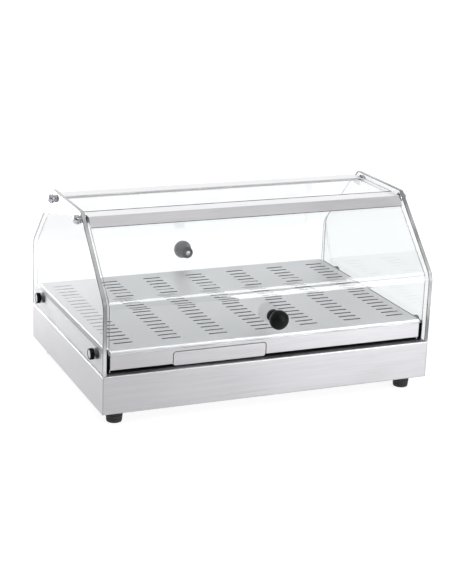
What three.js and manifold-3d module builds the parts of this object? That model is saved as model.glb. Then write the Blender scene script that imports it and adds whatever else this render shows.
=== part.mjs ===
// Countertop hot food display case: heated casing, perforated shelf, clear end panels and two lift-up flaps.
// Millimetres, +Z up. The front faces -Y, X runs along the length, Z = 0 is where the feet stand.
import * as THREE from 'three';
import { mergeVertices } from 'three/addons/utils/BufferGeometryUtils.js';
import Module from 'manifold-3d';

const wasm = await Module();
wasm.setup();

// Clearances
const gap = 0.3; // between pieces that touch on the real object
const swingGap = 1.6; // between a swinging edge and the roof panel
const seamGap = 1; // round the tray front in the shelf's lip

// Casing
const caseLength = 500;
const caseDepth = 340;
const caseHeight = 55;
const sheet = 1;
const flange = 11;
const deckFlange = 15;
const footHeight = 20;
const footRadius = 13;
const footInset = 26; // from the casing's ends to a foot's axis, in X and Y

// Clear end panels and roof
const panelThickness = 6;
const bendRise = 100.6; // from the casing's top to the bend in the outline
const glassRise = 203.3; // from the casing's top to the top edge
const bendRadius = 24;
const topCornerRadius = 9;
const roofThickness = 4;
const upstandHeight = 30;
const upstandSetBack = 8;

// Tie rods that carry the flaps
const rodRadius = 4;
const rodInset = 7; // from the top corner of the outline, towards the middle
const rodDrop = 12.3; // below the top edge
const domeNutRadius = 7;
const domeNutLength = 8;
const domeNutBore = 5.5;

// Flaps
const channelSheet = 1.2;
const channelInner = 14; // from the rod's axis to the channel's inner flange
const channelInnerDrop = 7;
const channelFace = 17.5;
const rodClearance = 0.8; // between a tie rod and the channel over it
const faceRecess = 0.5; // of the channel's face below the end panel's slope
const earWall = 3.7; // round the rod's hole in an ear
const gasketThickness = 1;
const gasketShow = 2; // how far the gasket shows past the face's edge
const paneThickness = 3;
const paneOverlap = 5; // of the pane below the top of the shelf
const paneSideGap = 4;

// Flap knobs
const knobRise = 62; // of the knob's axis above the casing's top
const knobLength = 29.5;
const knobHeadRadius = 14;
const knobBaseRadius = 9;
const knobNeckRadius = 6;
const knobScrewRadius = 2.5;
const washerThickness = 2;

// Shelf
const shelfRise = 34; // of the shelf's top above the casing's top
const shelfSheet = 1;
const shelfEndInset = 13;
const shelfFrontInset = 7;
const lipHeight = 28;
const foldRadius = 3;
const slotLength = 28;
const slotWidth = 4;
const slotPitch = 15;
const slotColumnPitch = 70;
const slotEdgeMargin = 27; // least distance from a slot's middle to the shelf's edge, in X and Y

// Tray
const trayCentre = -77;
const trayFrontWidth = 138;
const trayFrontHeight = 19.5;
const trayFrontCorner = 4;
const trayWidth = 132;
const trayWall = 1;
const trayWallHeight = 16;
const trayRearSpace = 55; // from the tray's rear end to the shelf's rear lip
const runnerSheet = 1.2;
const runnerShelf = 9;
const runnerHeight = 8;

// Panel screws
const panelScrewRise = 20.5;
const panelScrewInset = 40;
const screwCapRadius = 8;
const screwCapLength = 6.5;
const screwShankRadius = 2.5;

// Heater
const heaterRadius = 4;
const heaterDrop = 12; // of its axis below the deck
const heaterRun = 150; // half the length of a straight
const heaterPitch = 56;
const clipWidth = 15;
const clipInset = 60; // from the end of a straight to a clip
const clipSideSpace = 20; // from the outer straights to the clip's legs
const reflectorEndSpace = 60; // from the casing's ends to the reflector
const controlBay = 44; // free depth behind the front and rear panels, for the controls
const reflectorRise = 19; // above the base plate
const insulationThickness = 14;

// Controls on the rear panel, places along X
const thermostatPlace = 170;
const switchPlace = 110;
const glandPlace = -190;
const thermostatWidth = 40;
const thermostatDepth = 26;
const thermostatHeight = 34;
const spindleRadius = 3;
const dialRadius = 17;
const dialLength = 15;
const switchWidth = 26;
const switchHeight = 18;
const switchDepth = 20;
const switchBezel = 2;
const rockerLength = 20.4;
const rockerHeight = 12.4;
const rockerTilt = 8; // degrees each way from the middle
const rockerRise = 4.6;
const rockerWell = 8;
const glandRadius = 9;
const glandThread = 6;
const glandBore = 3.5;
const glandLength = 12;

// Levels and places that follow from the sizes above
const halfLength = caseLength / 2;
const halfDepth = caseDepth / 2;
const caseTop = footHeight + caseHeight;
const baseTop = footHeight + 2 * sheet + gap;
const deckTop = caseTop + gap + sheet;
const bendZ = caseTop + bendRise;
const glassTop = caseTop + glassRise;
const topHalf = halfDepth - (glassRise - bendRise); // the slope is at 45 degrees
const rodY = topHalf - rodInset;
const rodZ = glassTop - rodDrop;
const panelInner = halfLength - panelThickness;
const upstandInner = panelInner - gap - sheet;
const flapHalf = panelInner - paneSideGap;
const channelTop = rodZ + rodRadius + rodClearance + channelSheet;
const earReach = rodRadius + gap + earWall; // from the rod's axis to an ear's edge
const gasketInset = channelSheet + gap + gasketThickness + gap;
const paneInset = faceRecess + gasketInset; // from the end panel's outline to the pane's outer face
const knobZ = caseTop + knobRise;
const shelfTop = caseTop + shelfRise;
const shelfHalfLength = halfLength - shelfEndInset;
const shelfHalfDepth = halfDepth - shelfFrontInset;
const trayBottom = deckTop + gap + runnerSheet + gap;
const controlZ = footHeight + caseHeight / 2;
const rearFace = halfDepth;
const trayLength = 2 * shelfHalfDepth - sheet - gap - trayRearSpace;
const reflectorLength = caseLength - 2 * reflectorEndSpace;
const reflectorDepth = caseDepth - 2 * controlBay;

const metalLight = { color: 0xcfced2, roughness: 0.32, metalness: 1 };
const chromeLook = { color: 0xe6e6ea, roughness: 0.08, metalness: 1 };
const clearLook = { color: 0xf2f5f5, roughness: 0.05, metalness: 0, transparent: true, opacity: 0.3 };
const blackPlastic = { color: 0x121214, roughness: 0.35, metalness: 0 };
const blackRubber = { color: 0x17171a, roughness: 0.75, metalness: 0 };
const heaterLook = { color: 0x5c5a5e, roughness: 0.5, metalness: 1 };
const woolLook = { color: 0xe9e4d4, roughness: 1, metalness: 0 };

// ---- shapes ----

const point = (u, v) => new THREE.Vector2(u, v);

// A line through the corners in which each inner corner is rounded; every point carries its left-hand normal.
function roundedPath(corners, radii, steps = 4) {
  const path = [];
  const normalOf = (from, to) => new THREE.Vector2(from.y - to.y, to.x - from.x).normalize();
  path.push({ at: corners[0], normal: normalOf(corners[0], corners[1]) });
  for (let i = 1; i < corners.length - 1; i += 1) {
    const before = normalOf(corners[i - 1], corners[i]);
    const after = normalOf(corners[i], corners[i + 1]);
    const turn = Math.atan2(before.cross(after), before.dot(after));
    const side = Math.sign(turn);
    const radius = radii[i - 1];
    const middle = before.clone().add(after).normalize();
    const centre = corners[i].clone().addScaledVector(middle, (side * radius) / Math.cos(turn / 2));
    for (let k = 0; k <= steps; k += 1) {
      const normal = before.clone().rotateAround(point(0, 0), (turn * k) / steps);
      path.push({ at: centre.clone().addScaledVector(normal, -side * radius), normal });
    }
  }
  const last = corners.length - 1;
  path.push({ at: corners[last], normal: normalOf(corners[last - 1], corners[last]) });
  return path;
}

// Outline of a folded sheet whose right-hand surface follows the path.
function foldedOutline(corners, radii, thickness, steps) {
  const path = roundedPath(corners, radii, steps);
  const near = path.map((p) => p.at);
  const far = path.map((p) => p.at.clone().addScaledVector(p.normal, thickness));
  return near.concat(far.reverse());
}

function roundedRectangle(width, height, radius, steps = 3) {
  const outline = [];
  for (let corner = 0; corner < 4; corner += 1) {
    const u = (corner === 0 || corner === 3 ? 1 : -1) * (width / 2 - radius);
    const v = (corner < 2 ? 1 : -1) * (height / 2 - radius);
    for (let k = 0; k <= steps; k += 1) {
      const angle = (Math.PI / 2) * (corner + k / steps);
      outline.push(point(u + radius * Math.cos(angle), v + radius * Math.sin(angle)));
    }
  }
  return outline;
}

function circle(u, v, radius, segments = 20) {
  const outline = [];
  for (let k = 0; k < segments; k += 1) {
    const angle = (2 * Math.PI * k) / segments;
    outline.push(point(u + radius * Math.cos(angle), v + radius * Math.sin(angle)));
  }
  return outline;
}

function extrude(outline, length, holes = []) {
  const shape = new THREE.Shape(outline);
  shape.holes = holes.map((hole) => new THREE.Path(hole));
  return new THREE.ExtrudeGeometry(shape, { depth: length, bevelEnabled: false, steps: 1 });
}

// The outline's two coordinates are Y and Z, and it runs from low to high along X.
function alongX(outline, low, high, holes) {
  const turn = new THREE.Matrix4().makeBasis(
    new THREE.Vector3(0, 1, 0), new THREE.Vector3(0, 0, 1), new THREE.Vector3(1, 0, 0));
  return extrude(outline, high - low, holes).applyMatrix4(turn).translate(low, 0, 0);
}

// The outline's two coordinates are X and Z, and it runs from low to high along Y.
function alongY(outline, low, high, holes) {
  return extrude(outline, high - low, holes).rotateX(Math.PI / 2).translate(0, high, 0);
}

// The outline's two coordinates are X and Y, and it runs from low to high along Z.
function alongZ(outline, low, high, holes) {
  return extrude(outline, high - low, holes).translate(0, 0, low);
}

function block(low, high) {
  const size = high.map((value, axis) => value - low[axis]);
  const middle = high.map((value, axis) => (value + low[axis]) / 2);
  return new THREE.BoxGeometry(...size).translate(...middle);
}

// Radii and heights turned about Z.
function turned(profile, segments = 20) {
  return new THREE.LatheGeometry(profile.map(([r, h]) => point(r, h)), segments).rotateX(Math.PI / 2);
}

// ---- booleans ----

function solidOf(geometry) {
  const bare = geometry.clone();
  bare.deleteAttribute('normal');
  bare.deleteAttribute('uv');
  const merged = mergeVertices(bare, 1e-4);
  return new wasm.Manifold(new wasm.Mesh({
    numProp: 3,
    vertProperties: new Float32Array(merged.attributes.position.array),
    triVerts: new Uint32Array(merged.index.array),
  }));
}

function geometryOf(solid) {
  const mesh = solid.getMesh();
  const geometry = new THREE.BufferGeometry();
  geometry.setAttribute('position', new THREE.BufferAttribute(new Float32Array(mesh.vertProperties), 3));
  geometry.setIndex(Array.from(mesh.triVerts));
  geometry.computeVertexNormals();
  return geometry;
}

function joined(...geometries) {
  return geometryOf(geometries.map(solidOf).reduce((all, next) => all.add(next)));
}

function cutFrom(geometry, ...tools) {
  return geometryOf(tools.map(solidOf).reduce((left, tool) => left.subtract(tool), solidOf(geometry)));
}

// ---- the tree ----

const displayCase = new THREE.Group();

function piece(name, geometry, look, parent = displayCase) {
  const mesh = new THREE.Mesh(geometry, new THREE.MeshStandardMaterial(look));
  mesh.name = name;
  parent.add(mesh);
  return mesh;
}

// ---- casing ----

// Front or rear sheet: web, bottom flange and deck flange, drawn for the front.
function longSheet(holes) {
  const web = [
    point(-halfDepth + deckFlange, caseTop), point(-halfDepth, caseTop),
    point(-halfDepth, footHeight), point(-halfDepth + flange, footHeight),
  ];
  const outline = foldedOutline(web, [2 * sheet, 2 * sheet], sheet);
  const reach = halfLength - sheet - gap;
  const folded = alongX(outline, -reach, reach);
  const deckEnd = (side) => block(
    [side > 0 ? upstandInner - gap : -halfLength, -halfDepth + sheet + gap, caseTop - 2 * sheet],
    [side > 0 ? halfLength : -upstandInner + gap, -halfDepth + deckFlange + gap, caseTop + sheet]);
  return cutFrom(folded, deckEnd(1), deckEnd(-1), ...holes);
}

function rearSheet() {
  const through = [-halfDepth - sheet, -halfDepth + 2 * sheet];
  const spindleHole = alongY(circle(-thermostatPlace, controlZ, spindleRadius + 1 + gap), ...through);
  const switchHole = alongY(roundedRectangle(switchWidth + 2 * gap, switchHeight + 2 * gap, gap)
    .map((p) => point(p.x - switchPlace, p.y + controlZ)), ...through);
  const glandHole = alongY(circle(-glandPlace, controlZ, glandThread + gap), ...through);
  return longSheet([spindleHole, switchHole, glandHole]).rotateZ(Math.PI);
}

// Left or right sheet: web, ledge that the end panel stands on, and upstand, drawn for the left.
function endSheet() {
  const inner = -upstandInner;
  const outline = foldedOutline([
    point(-halfLength + flange, footHeight), point(-halfLength, footHeight), point(-halfLength, caseTop),
    point(inner - sheet, caseTop), point(inner - sheet, caseTop + upstandHeight),
  ].reverse(), [sheet, 2 * sheet, 2 * sheet], sheet);
  const folded = alongY(outline, -halfDepth, halfDepth);
  const far = halfDepth + sheet;
  const inside = -halfLength + sheet + gap / 2;
  const cuts = [1, -1].flatMap((side) => {
    const span = (from, to) => (side > 0 ? [from, to] : [-to, -from]);
    const [seamLow, seamHigh] = span(halfDepth - sheet - gap, far);
    const [flangeLow, flangeHigh] = span(halfDepth - flange - gap, far);
    const [upLow, upHigh] = span(halfDepth - upstandSetBack, far);
    return [
      block([inside, seamLow, 0], [0, seamHigh, glassTop]),
      block([inside, flangeLow, 0], [0, flangeHigh, baseTop]),
      block([-halfLength - sheet, upLow, caseTop], [0, upHigh, glassTop]),
    ];
  });
  const holes = [1, -1].map((side) => alongX(
    circle(side * (halfDepth - panelScrewInset), caseTop + panelScrewRise, screwShankRadius + gap),
    -panelInner, -upstandInner + sheet));
  return cutFrom(folded, ...cuts, ...holes);
}

function footPlaces() {
  const x = halfLength - footInset;
  const y = halfDepth - footInset;
  return [['front_left', -x, -y], ['front_right', x, -y], ['rear_left', -x, y], ['rear_right', x, y]];
}

function basePlate() {
  const reach = sheet + gap;
  const holes = footPlaces().map(([, x, y]) => circle(x, y, 2 + gap, 12));
  const outline = roundedRectangle(caseLength - 2 * reach, caseDepth - 2 * reach, 2 * sheet);
  return alongZ(outline, footHeight + sheet + gap, baseTop, holes);
}

function deckPlate() {
  const width = 2 * (upstandInner - gap);
  const depth = caseDepth - 2 * (deckFlange - gap - 5);
  return alongZ(roundedRectangle(width, depth, 3), deckTop - sheet, deckTop);
}

const footSeat = footHeight + sheet; // height of the foot's top, under the base plate
const footRecess = 10;

function foot() {
  return turned([
    [5, 0], [footRadius - 3.5, 0], [footRadius - 2, 2], [footRadius, footSeat - 5], [footRadius, footSeat],
    [2 + gap, footSeat], [2 + gap, footRecess], [5, footRecess], [5, 0],
  ]);
}

function footScrew() {
  const head = footRecess - gap;
  const tip = baseTop + 4;
  return turned([[0, head - 3], [3, head - 3], [4, head - 2], [4, head], [2, head], [2, tip], [0, tip]], 16);
}

piece('front_panel', longSheet([]), metalLight);
piece('rear_panel', rearSheet(), metalLight);
piece('left_side_panel', endSheet(), metalLight);
piece('right_side_panel', endSheet().rotateZ(Math.PI), metalLight);
piece('base_plate', basePlate(), metalLight);
piece('deck_plate', deckPlate(), metalLight);
for (const [place, x, y] of footPlaces()) {
  piece(`${place}_foot`, foot(), blackRubber).position.set(x, y, 0);
  piece(`${place}_foot_screw`, footScrew(), metalLight).position.set(x, y, 0);
}

// ---- clear end panels, roof and tie rods ----

function glassCorners(inset) {
  const shift = inset * Math.tan(Math.PI / 8);
  return [
    point(-halfDepth + inset, caseTop), point(-halfDepth + inset, bendZ - shift),
    point(-topHalf + shift, glassTop - inset),
  ];
}

function endPanelOutline() {
  const front = glassCorners(0);
  front[0].y += gap;
  const rear = front.map((p) => point(-p.x, p.y)).reverse();
  const corners = [...front, ...rear];
  const radii = [bendRadius, topCornerRadius, topCornerRadius, bendRadius];
  return roundedPath(corners, radii, 6).map((p) => p.at);
}

function endPanel() {
  const screwY = halfDepth - panelScrewInset;
  const screwZ = caseTop + panelScrewRise;
  const holes = [1, -1].flatMap((side) => [
    circle(side * rodY, rodZ, rodRadius + gap),
    circle(side * screwY, screwZ, screwShankRadius + gap, 16),
  ]);
  return alongX(endPanelOutline(), 0, panelThickness, holes);
}

function roofPanel() {
  const width = 2 * (panelInner - gap);
  const depth = 2 * (rodY - channelInner - swingGap);
  return alongZ(roundedRectangle(width, depth, 1), channelTop - roofThickness, channelTop);
}

function domeNut() {
  const profile = [[0, domeNutBore], [rodRadius + gap, domeNutBore], [rodRadius + gap, 0], [domeNutRadius - 0.6, 0]];
  const rim = 2.4;
  profile.push([domeNutRadius, 0.6]);
  for (let k = 0; k <= 4; k += 1) {
    const angle = ((Math.PI / 2) * k) / 4;
    profile.push([domeNutRadius * Math.cos(angle), rim + (domeNutLength - rim) * Math.sin(angle)]);
  }
  profile[profile.length - 1][0] = 0;
  return turned(profile);
}

const rodReach = halfLength + gap + domeNutBore - gap;

piece('left_end_panel', endPanel(), clearLook).position.set(-halfLength, 0, 0);
piece('right_end_panel', endPanel(), clearLook).position.set(panelInner, 0, 0);
piece('roof_panel', roofPanel(), clearLook);
for (const [end, side] of [['front', -1], ['rear', 1]]) {
  const rod = alongX(circle(0, 0, rodRadius, 24), -rodReach, rodReach);
  piece(`${end}_tie_rod`, rod, chromeLook).position.set(0, side * rodY, rodZ);
  for (const [hand, out] of [['left', -1], ['right', 1]]) {
    const bushLength = paneSideGap - 2 * gap;
    const bush = turned([
      [rodRadius + gap, 0], [rodRadius + 1.5, 0], [rodRadius + 1.5, bushLength], [rodRadius + gap, bushLength],
      [rodRadius + gap, 0],
    ]);
    const bushMesh = piece(`${end}_${hand}_rod_bush`, bush, chromeLook);
    bushMesh.rotation.y = (out * Math.PI) / 2;
    bushMesh.position.set(out * (flapHalf + gap), side * rodY, rodZ);
    const nut = piece(`${end}_${hand}_dome_nut`, domeNut(), chromeLook);
    nut.rotation.y = (out * Math.PI) / 2;
    nut.position.set(out * (halfLength + gap), side * rodY, rodZ);
  }
}

function panelScrew() {
  const shank = panelThickness + 2 * sheet + 3 * gap;
  return turned([
    [0, -shank], [screwShankRadius, -shank], [screwShankRadius, 0], [screwCapRadius - 0.5, 0],
    [screwCapRadius, 0.5], [screwCapRadius, screwCapLength - 1], [screwCapRadius - 1, screwCapLength],
    [0, screwCapLength],
  ]);
}

for (const [hand, out] of [['left', -1], ['right', 1]]) {
  for (const [end, side] of [['front', -1], ['rear', 1]]) {
    const screw = piece(`${hand}_${end}_panel_screw`, panelScrew(), blackPlastic);
    screw.rotation.y = (out * Math.PI) / 2;
    screw.position.set(out * (halfLength + gap), side * (halfDepth - panelScrewInset), caseTop + panelScrewRise);
  }
}

// ---- flaps, drawn for the front ----

// A point on the slope, inset from the end panel's outline, so far down the slope from the channel's fold.
function onSlope(inset, down) {
  const corner = glassCorners(inset)[1];
  const level = channelTop - down * Math.SQRT1_2;
  return point(corner.x + level - corner.y, level);
}

function hingeChannel() {
  const innerY = -rodY + channelInner;
  const backY = -rodY - earReach;
  const low = rodZ - earReach - 2;
  const fold = onSlope(faceRecess, 0);
  const outline = foldedOutline(
    [onSlope(faceRecess, channelFace), fold, point(innerY, channelTop), point(innerY, channelTop - channelInnerDrop)]
      .reverse(),
    [2 * channelSheet, 1.6 * channelSheet], channelSheet);
  const strip = alongX(outline, -flapHalf, flapHalf);
  const earOutline = [
    point(innerY, channelTop - 3 * channelSheet), point(innerY - 2 * channelSheet, channelTop - channelSheet / 2),
    point(backY, channelTop - channelSheet / 2), point(backY, low + 3), point(backY + 3, low),
    point(innerY - 5, low), point(innerY, low + 5),
  ];
  const hole = circle(-rodY, rodZ, rodRadius + gap);
  const ear = (from) => alongX(earOutline, from, from + channelSheet, [hole]);
  return joined(strip, ear(-flapHalf), ear(flapHalf - channelSheet));
}

// How far down the slope the pane starts, clear of the ears.
function paneStart() {
  const cornerY = onSlope(paneInset, 0).x + paneThickness * Math.SQRT1_2;
  return (cornerY + rodY + earReach + gap) * Math.SQRT2 + 2 * gap;
}

function gasketStrip() {
  const near = faceRecess + channelSheet + gap;
  const far = near + gasketThickness;
  const from = paneStart();
  const to = channelFace + gasketShow;
  return alongX([onSlope(near, from), onSlope(far, from), onSlope(far, to), onSlope(near, to)],
    -flapHalf + gap, flapHalf - gap);
}

function flapPane() {
  const corner = glassCorners(paneInset)[1];
  const outline = foldedOutline(
    [onSlope(paneInset, paneStart()), corner, point(corner.x, shelfTop - paneOverlap)],
    [bendRadius], paneThickness, 8);
  const hole = alongY(circle(0, knobZ, knobScrewRadius + gap, 16), -halfDepth, -halfDepth + 20);
  return cutFrom(alongX(outline, -flapHalf, flapHalf), hole);
}

function flapKnob() {
  const profile = [
    [0, 8], [knobScrewRadius + gap, 8], [knobScrewRadius + gap, 0], [knobBaseRadius - 0.8, 0],
    [knobBaseRadius, 0.8], [knobBaseRadius, 2.6], [knobNeckRadius, 4.4], [knobNeckRadius, 5.9],
  ];
  const middle = knobLength - 0.8 * knobHeadRadius;
  const start = -Math.acos(knobNeckRadius / knobHeadRadius);
  for (let k = 0; k <= 9; k += 1) {
    const angle = start + ((Math.PI / 2 - start) * k) / 9;
    const flat = angle > 0 ? 0.8 : 0.95;
    profile.push([knobHeadRadius * Math.cos(angle), middle + flat * knobHeadRadius * Math.sin(angle)]);
  }
  profile[profile.length - 1][0] = 0;
  return turned(profile);
}

function knobScrew() {
  const through = paneThickness + washerThickness + 2 * gap;
  const head = 2.6;
  return turned([
    [0, -through - head], [2.2, -through - head], [4, -through - head + 1], [4, -through], [knobScrewRadius, -through],
    [knobScrewRadius, 7], [0, 7],
  ], 16);
}

function knobWasher() {
  return turned([
    [knobScrewRadius + gap, 0], [knobBaseRadius, 0], [knobBaseRadius, washerThickness - 0.5],
    [knobBaseRadius - 0.5, washerThickness], [knobScrewRadius + gap, washerThickness], [knobScrewRadius + gap, 0],
  ]);
}

function flap(end) {
  const group = new THREE.Group();
  const paneFace = -halfDepth + paneInset;
  piece(`${end}_hinge_channel`, hingeChannel(), metalLight, group);
  piece(`${end}_channel_gasket`, gasketStrip(), blackRubber, group);
  piece(`${end}_flap_pane`, flapPane(), clearLook, group);
  const onPane = (name, geometry, look, y, turn) => {
    const mesh = piece(name, geometry, look, group);
    mesh.rotation.x = turn;
    mesh.position.set(0, y, knobZ);
  };
  onPane(`${end}_flap_knob`, flapKnob(), blackPlastic, paneFace - gap, Math.PI / 2);
  onPane(`${end}_knob_screw`, knobScrew(), chromeLook, paneFace - gap / 2, Math.PI / 2);
  onPane(`${end}_knob_washer`, knobWasher(), blackRubber, paneFace + paneThickness + gap / 2, -Math.PI / 2);
  displayCase.add(group);
  return group;
}

flap('front');
flap('rear').rotation.z = Math.PI;

// ---- shelf ----

function slotPlaces() {
  const centred = (reach, pitch) => {
    const count = 2 * Math.floor((reach - slotEdgeMargin) / pitch) + 1;
    return Array.from({ length: count }, (unused, index) => (index - (count - 1) / 2) * pitch);
  };
  const columns = centred(shelfHalfLength, slotColumnPitch);
  const rows = centred(shelfHalfDepth, slotPitch);
  return columns.flatMap((x) => rows.map((y) => [x, y]));
}

function slot([x, y]) {
  const long = slotLength / 2;
  const wide = slotWidth / 2;
  return [
    point(x + long, y), point(x + long - wide, y + wide), point(x - long + wide, y + wide),
    point(x - long, y), point(x - long + wide, y - wide), point(x + long - wide, y - wide),
  ];
}

function lip(reach, bottom) {
  const inward = 2 * foldRadius;
  return foldedOutline([point(-reach + inward, 0), point(-reach, 0), point(-reach, -bottom)],
    [foldRadius], shelfSheet);
}

function shelf() {
  const flatLength = shelfHalfLength - foldRadius;
  const flatDepth = shelfHalfDepth - foldRadius;
  const plateOutline = [
    point(-flatLength, -flatDepth), point(flatLength, -flatDepth), point(flatLength, flatDepth),
    point(-flatLength, flatDepth),
  ];
  const plate = alongZ(plateOutline, -shelfSheet, 0, slotPlaces().map(slot));
  const frontLip = alongX(lip(shelfHalfDepth, lipHeight), -flatLength, flatLength);
  const sideDrop = shelfTop - deckTop - gap;
  const leftFlange = alongY(lip(shelfHalfLength, sideDrop), -flatDepth, flatDepth);
  const tongue = trayFrontHeight - (caseTop + shelfRise - lipHeight - trayBottom);
  const cutOutline = roundedRectangle(
    trayFrontWidth + 2 * seamGap, 2 * (tongue + seamGap), trayFrontCorner + seamGap)
    .map((p) => point(p.x + trayCentre, p.y - lipHeight));
  const cutOut = alongY(cutOutline, -shelfHalfDepth - sheet, -shelfHalfDepth + 2 * shelfSheet);
  return cutFrom(joined(plate, frontLip, frontLip.clone().rotateZ(Math.PI), leftFlange,
    leftFlange.clone().rotateZ(Math.PI)), cutOut);
}

piece('perforated_shelf', shelf(), metalLight).position.set(0, 0, shelfTop);

// ---- tray and its runners ----

function trayFront() {
  const outline = roundedRectangle(trayFrontWidth, trayFrontHeight, trayFrontCorner)
    .map((p) => point(p.x, p.y + trayFrontHeight / 2));
  return alongY(outline, 0, sheet);
}

function trayPan() {
  const half = trayWidth / 2;
  const outer = block([-half, 0, 0], [half, trayLength, trayWallHeight]);
  const hollow = block([-half + trayWall, trayWall, trayWall],
    [half - trayWall, trayLength - trayWall, trayWallHeight + trayWall]);
  return cutFrom(outer, hollow);
}

function runner(side) {
  const edge = side * (trayWidth / 2 + gap + 0.3);
  const outline = foldedOutline([
    point(edge - side * runnerShelf, 0), point(edge + side * runnerSheet, 0),
    point(edge + side * runnerSheet, runnerHeight),
  ], [1.5 * runnerSheet], side * runnerSheet);
  return alongY(outline, 0, trayLength);
}

const trayFace = -shelfHalfDepth;
piece('tray_front', trayFront(), metalLight).position.set(trayCentre, trayFace, trayBottom);
piece('tray_pan', trayPan(), metalLight).position.set(trayCentre, trayFace + sheet + gap, trayBottom);
piece('left_tray_runner', runner(-1), metalLight).position.set(trayCentre, trayFace + 6, deckTop + gap);
piece('right_tray_runner', runner(1), metalLight).position.set(trayCentre, trayFace + 6, deckTop + gap);

// ---- heater, reflector and insulation ----

const heaterZ = deckTop - sheet - heaterDrop;

// Four straights joined by half circles; both ends finish on the same side as the controls.
class HeaterRoute extends THREE.Curve {
  getPoint(t, target = new THREE.Vector3()) {
    const straight = 2 * heaterRun;
    const bend = (Math.PI * heaterPitch) / 2;
    const total = 4 * straight + 3 * bend;
    const leg = straight + bend;
    const travelled = t * total;
    const index = Math.min(3, Math.floor(travelled / leg));
    const along = travelled - index * leg;
    const heading = index % 2 === 0 ? -1 : 1;
    const y = (1.5 - index) * heaterPitch;
    if (along <= straight) return target.set(heading * (along - heaterRun), y, 0);
    const angle = (2 * (along - straight)) / heaterPitch;
    const radius = heaterPitch / 2;
    return target.set(heading * (heaterRun + radius * Math.sin(angle)), y - radius * (1 - Math.cos(angle)), 0);
  }
}

function heatingElement() {
  const section = new THREE.Shape(circle(0, 0, heaterRadius, 8));
  return new THREE.ExtrudeGeometry(section, { steps: 72, bevelEnabled: false, extrudePath: new HeaterRoute() });
}

function heaterClip() {
  const half = 1.5 * heaterPitch + heaterRadius + clipSideSpace;
  const low = heaterZ - heaterRadius - gap;
  const high = deckTop - sheet - gap;
  const corners = [
    point(-half - 10, high), point(-half, high), point(-half, low), point(half, low), point(half, high),
    point(half + 10, high),
  ];
  return alongX(foldedOutline(corners.reverse(), [2, 2, 2, 2], sheet), -clipWidth / 2, clipWidth / 2);
}

function reflector() {
  const half = reflectorDepth / 2;
  const high = baseTop + reflectorRise;
  const low = baseTop + gap;
  const corners = [
    point(-half - 10, low), point(-half, low), point(-half, high), point(half, high), point(half, low),
    point(half + 10, low),
  ];
  return alongX(foldedOutline(corners, [2, 2, 2, 2], sheet), -reflectorLength / 2, reflectorLength / 2);
}

function insulation() {
  const half = [reflectorLength / 2 - 4, reflectorDepth / 2 - 4];
  return block([-half[0], -half[1], baseTop + gap], [half[0], half[1], baseTop + gap + insulationThickness]);
}

piece('heating_element', heatingElement(), heaterLook).position.set(0, 0, heaterZ);
piece('left_heater_clip', heaterClip(), metalLight).position.set(-heaterRun + clipInset, 0, 0);
piece('right_heater_clip', heaterClip(), metalLight).position.set(heaterRun - clipInset, 0, 0);
piece('heat_reflector', reflector(), metalLight);
piece('insulation_blanket', insulation(), woolLook);

// ---- controls ----

// Body behind the rear panel, threaded neck through it and a spindle for the dial.
function thermostatBody() {
  const inside = -sheet - gap;
  const box = block([-thermostatWidth / 2, inside - thermostatDepth, -thermostatHeight / 2],
    [thermostatWidth / 2, inside, thermostatHeight / 2]);
  const neck = turned([[0, 1], [spindleRadius + 1, 1], [spindleRadius + 1, 2.5 + sheet], [spindleRadius, 2.5 + sheet],
    [spindleRadius, 12], [0, 12]], 20);
  return joined(box, neck.rotateX(-Math.PI / 2).translate(0, inside - 2, 0));
}

function thermostatBulb() {
  const bulb = turned([[0, 0], [2, 0], [3, 1.5], [3, 68], [2, 70], [0, 70]], 12).rotateY(Math.PI / 2);
  const route = new THREE.CatmullRomCurve3([
    new THREE.Vector3(68, 0, 0), new THREE.Vector3(84, 0, 0), new THREE.Vector3(100, 6, -4),
    new THREE.Vector3(112, 20, -8),
  ]);
  const section = new THREE.Shape(circle(0, 0, 1, 8));
  const tube = new THREE.ExtrudeGeometry(section, { steps: 16, bevelEnabled: false, extrudePath: route });
  return joined(bulb, tube);
}

function thermostatDial() {
  const grip = turned([
    [0, 9], [spindleRadius + gap, 9], [spindleRadius + gap, 0], [dialRadius, 0], [dialRadius, 2.5],
    [dialRadius - 4, 4], [dialRadius - 5, dialLength - 1], [dialRadius - 6, dialLength], [0, dialLength],
  ], 32).rotateX(-Math.PI / 2);
  const rib = block([-1.2, 3, dialRadius - 6.5], [1.2, dialLength, dialRadius - 2.5]);
  return joined(grip, rib);
}

function switchHousing() {
  const bezel = block([-switchWidth / 2 - 2, gap, -switchHeight / 2 - 2],
    [switchWidth / 2 + 2, gap + switchBezel, switchHeight / 2 + 2]);
  const body = block([-switchWidth / 2, -switchDepth, -switchHeight / 2],
    [switchWidth / 2, gap + 1, switchHeight / 2]);
  const wellLength = rockerLength / 2 + 1;
  const wellHeight = rockerHeight / 2 + gap;
  const face = gap + switchBezel;
  const well = block([-wellLength, face - rockerWell, -wellHeight], [wellLength, face + 1, wellHeight]);
  return cutFrom(joined(bezel, body), well);
}

const rockerPivot = gap + switchBezel - rockerWell + 4;

function switchRocker() {
  const half = rockerLength / 2;
  const outline = [
    point(-half, rockerRise), point(-half, 0.5), point(-half + 3, -2), point(half - 3, -2), point(half, 0.5),
    point(half, rockerRise), point(0, rockerRise - half * Math.tan((rockerTilt * Math.PI) / 180)),
  ];
  return alongZ(outline, -rockerHeight / 2, rockerHeight / 2).rotateZ((-rockerTilt * Math.PI) / 180);
}

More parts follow.
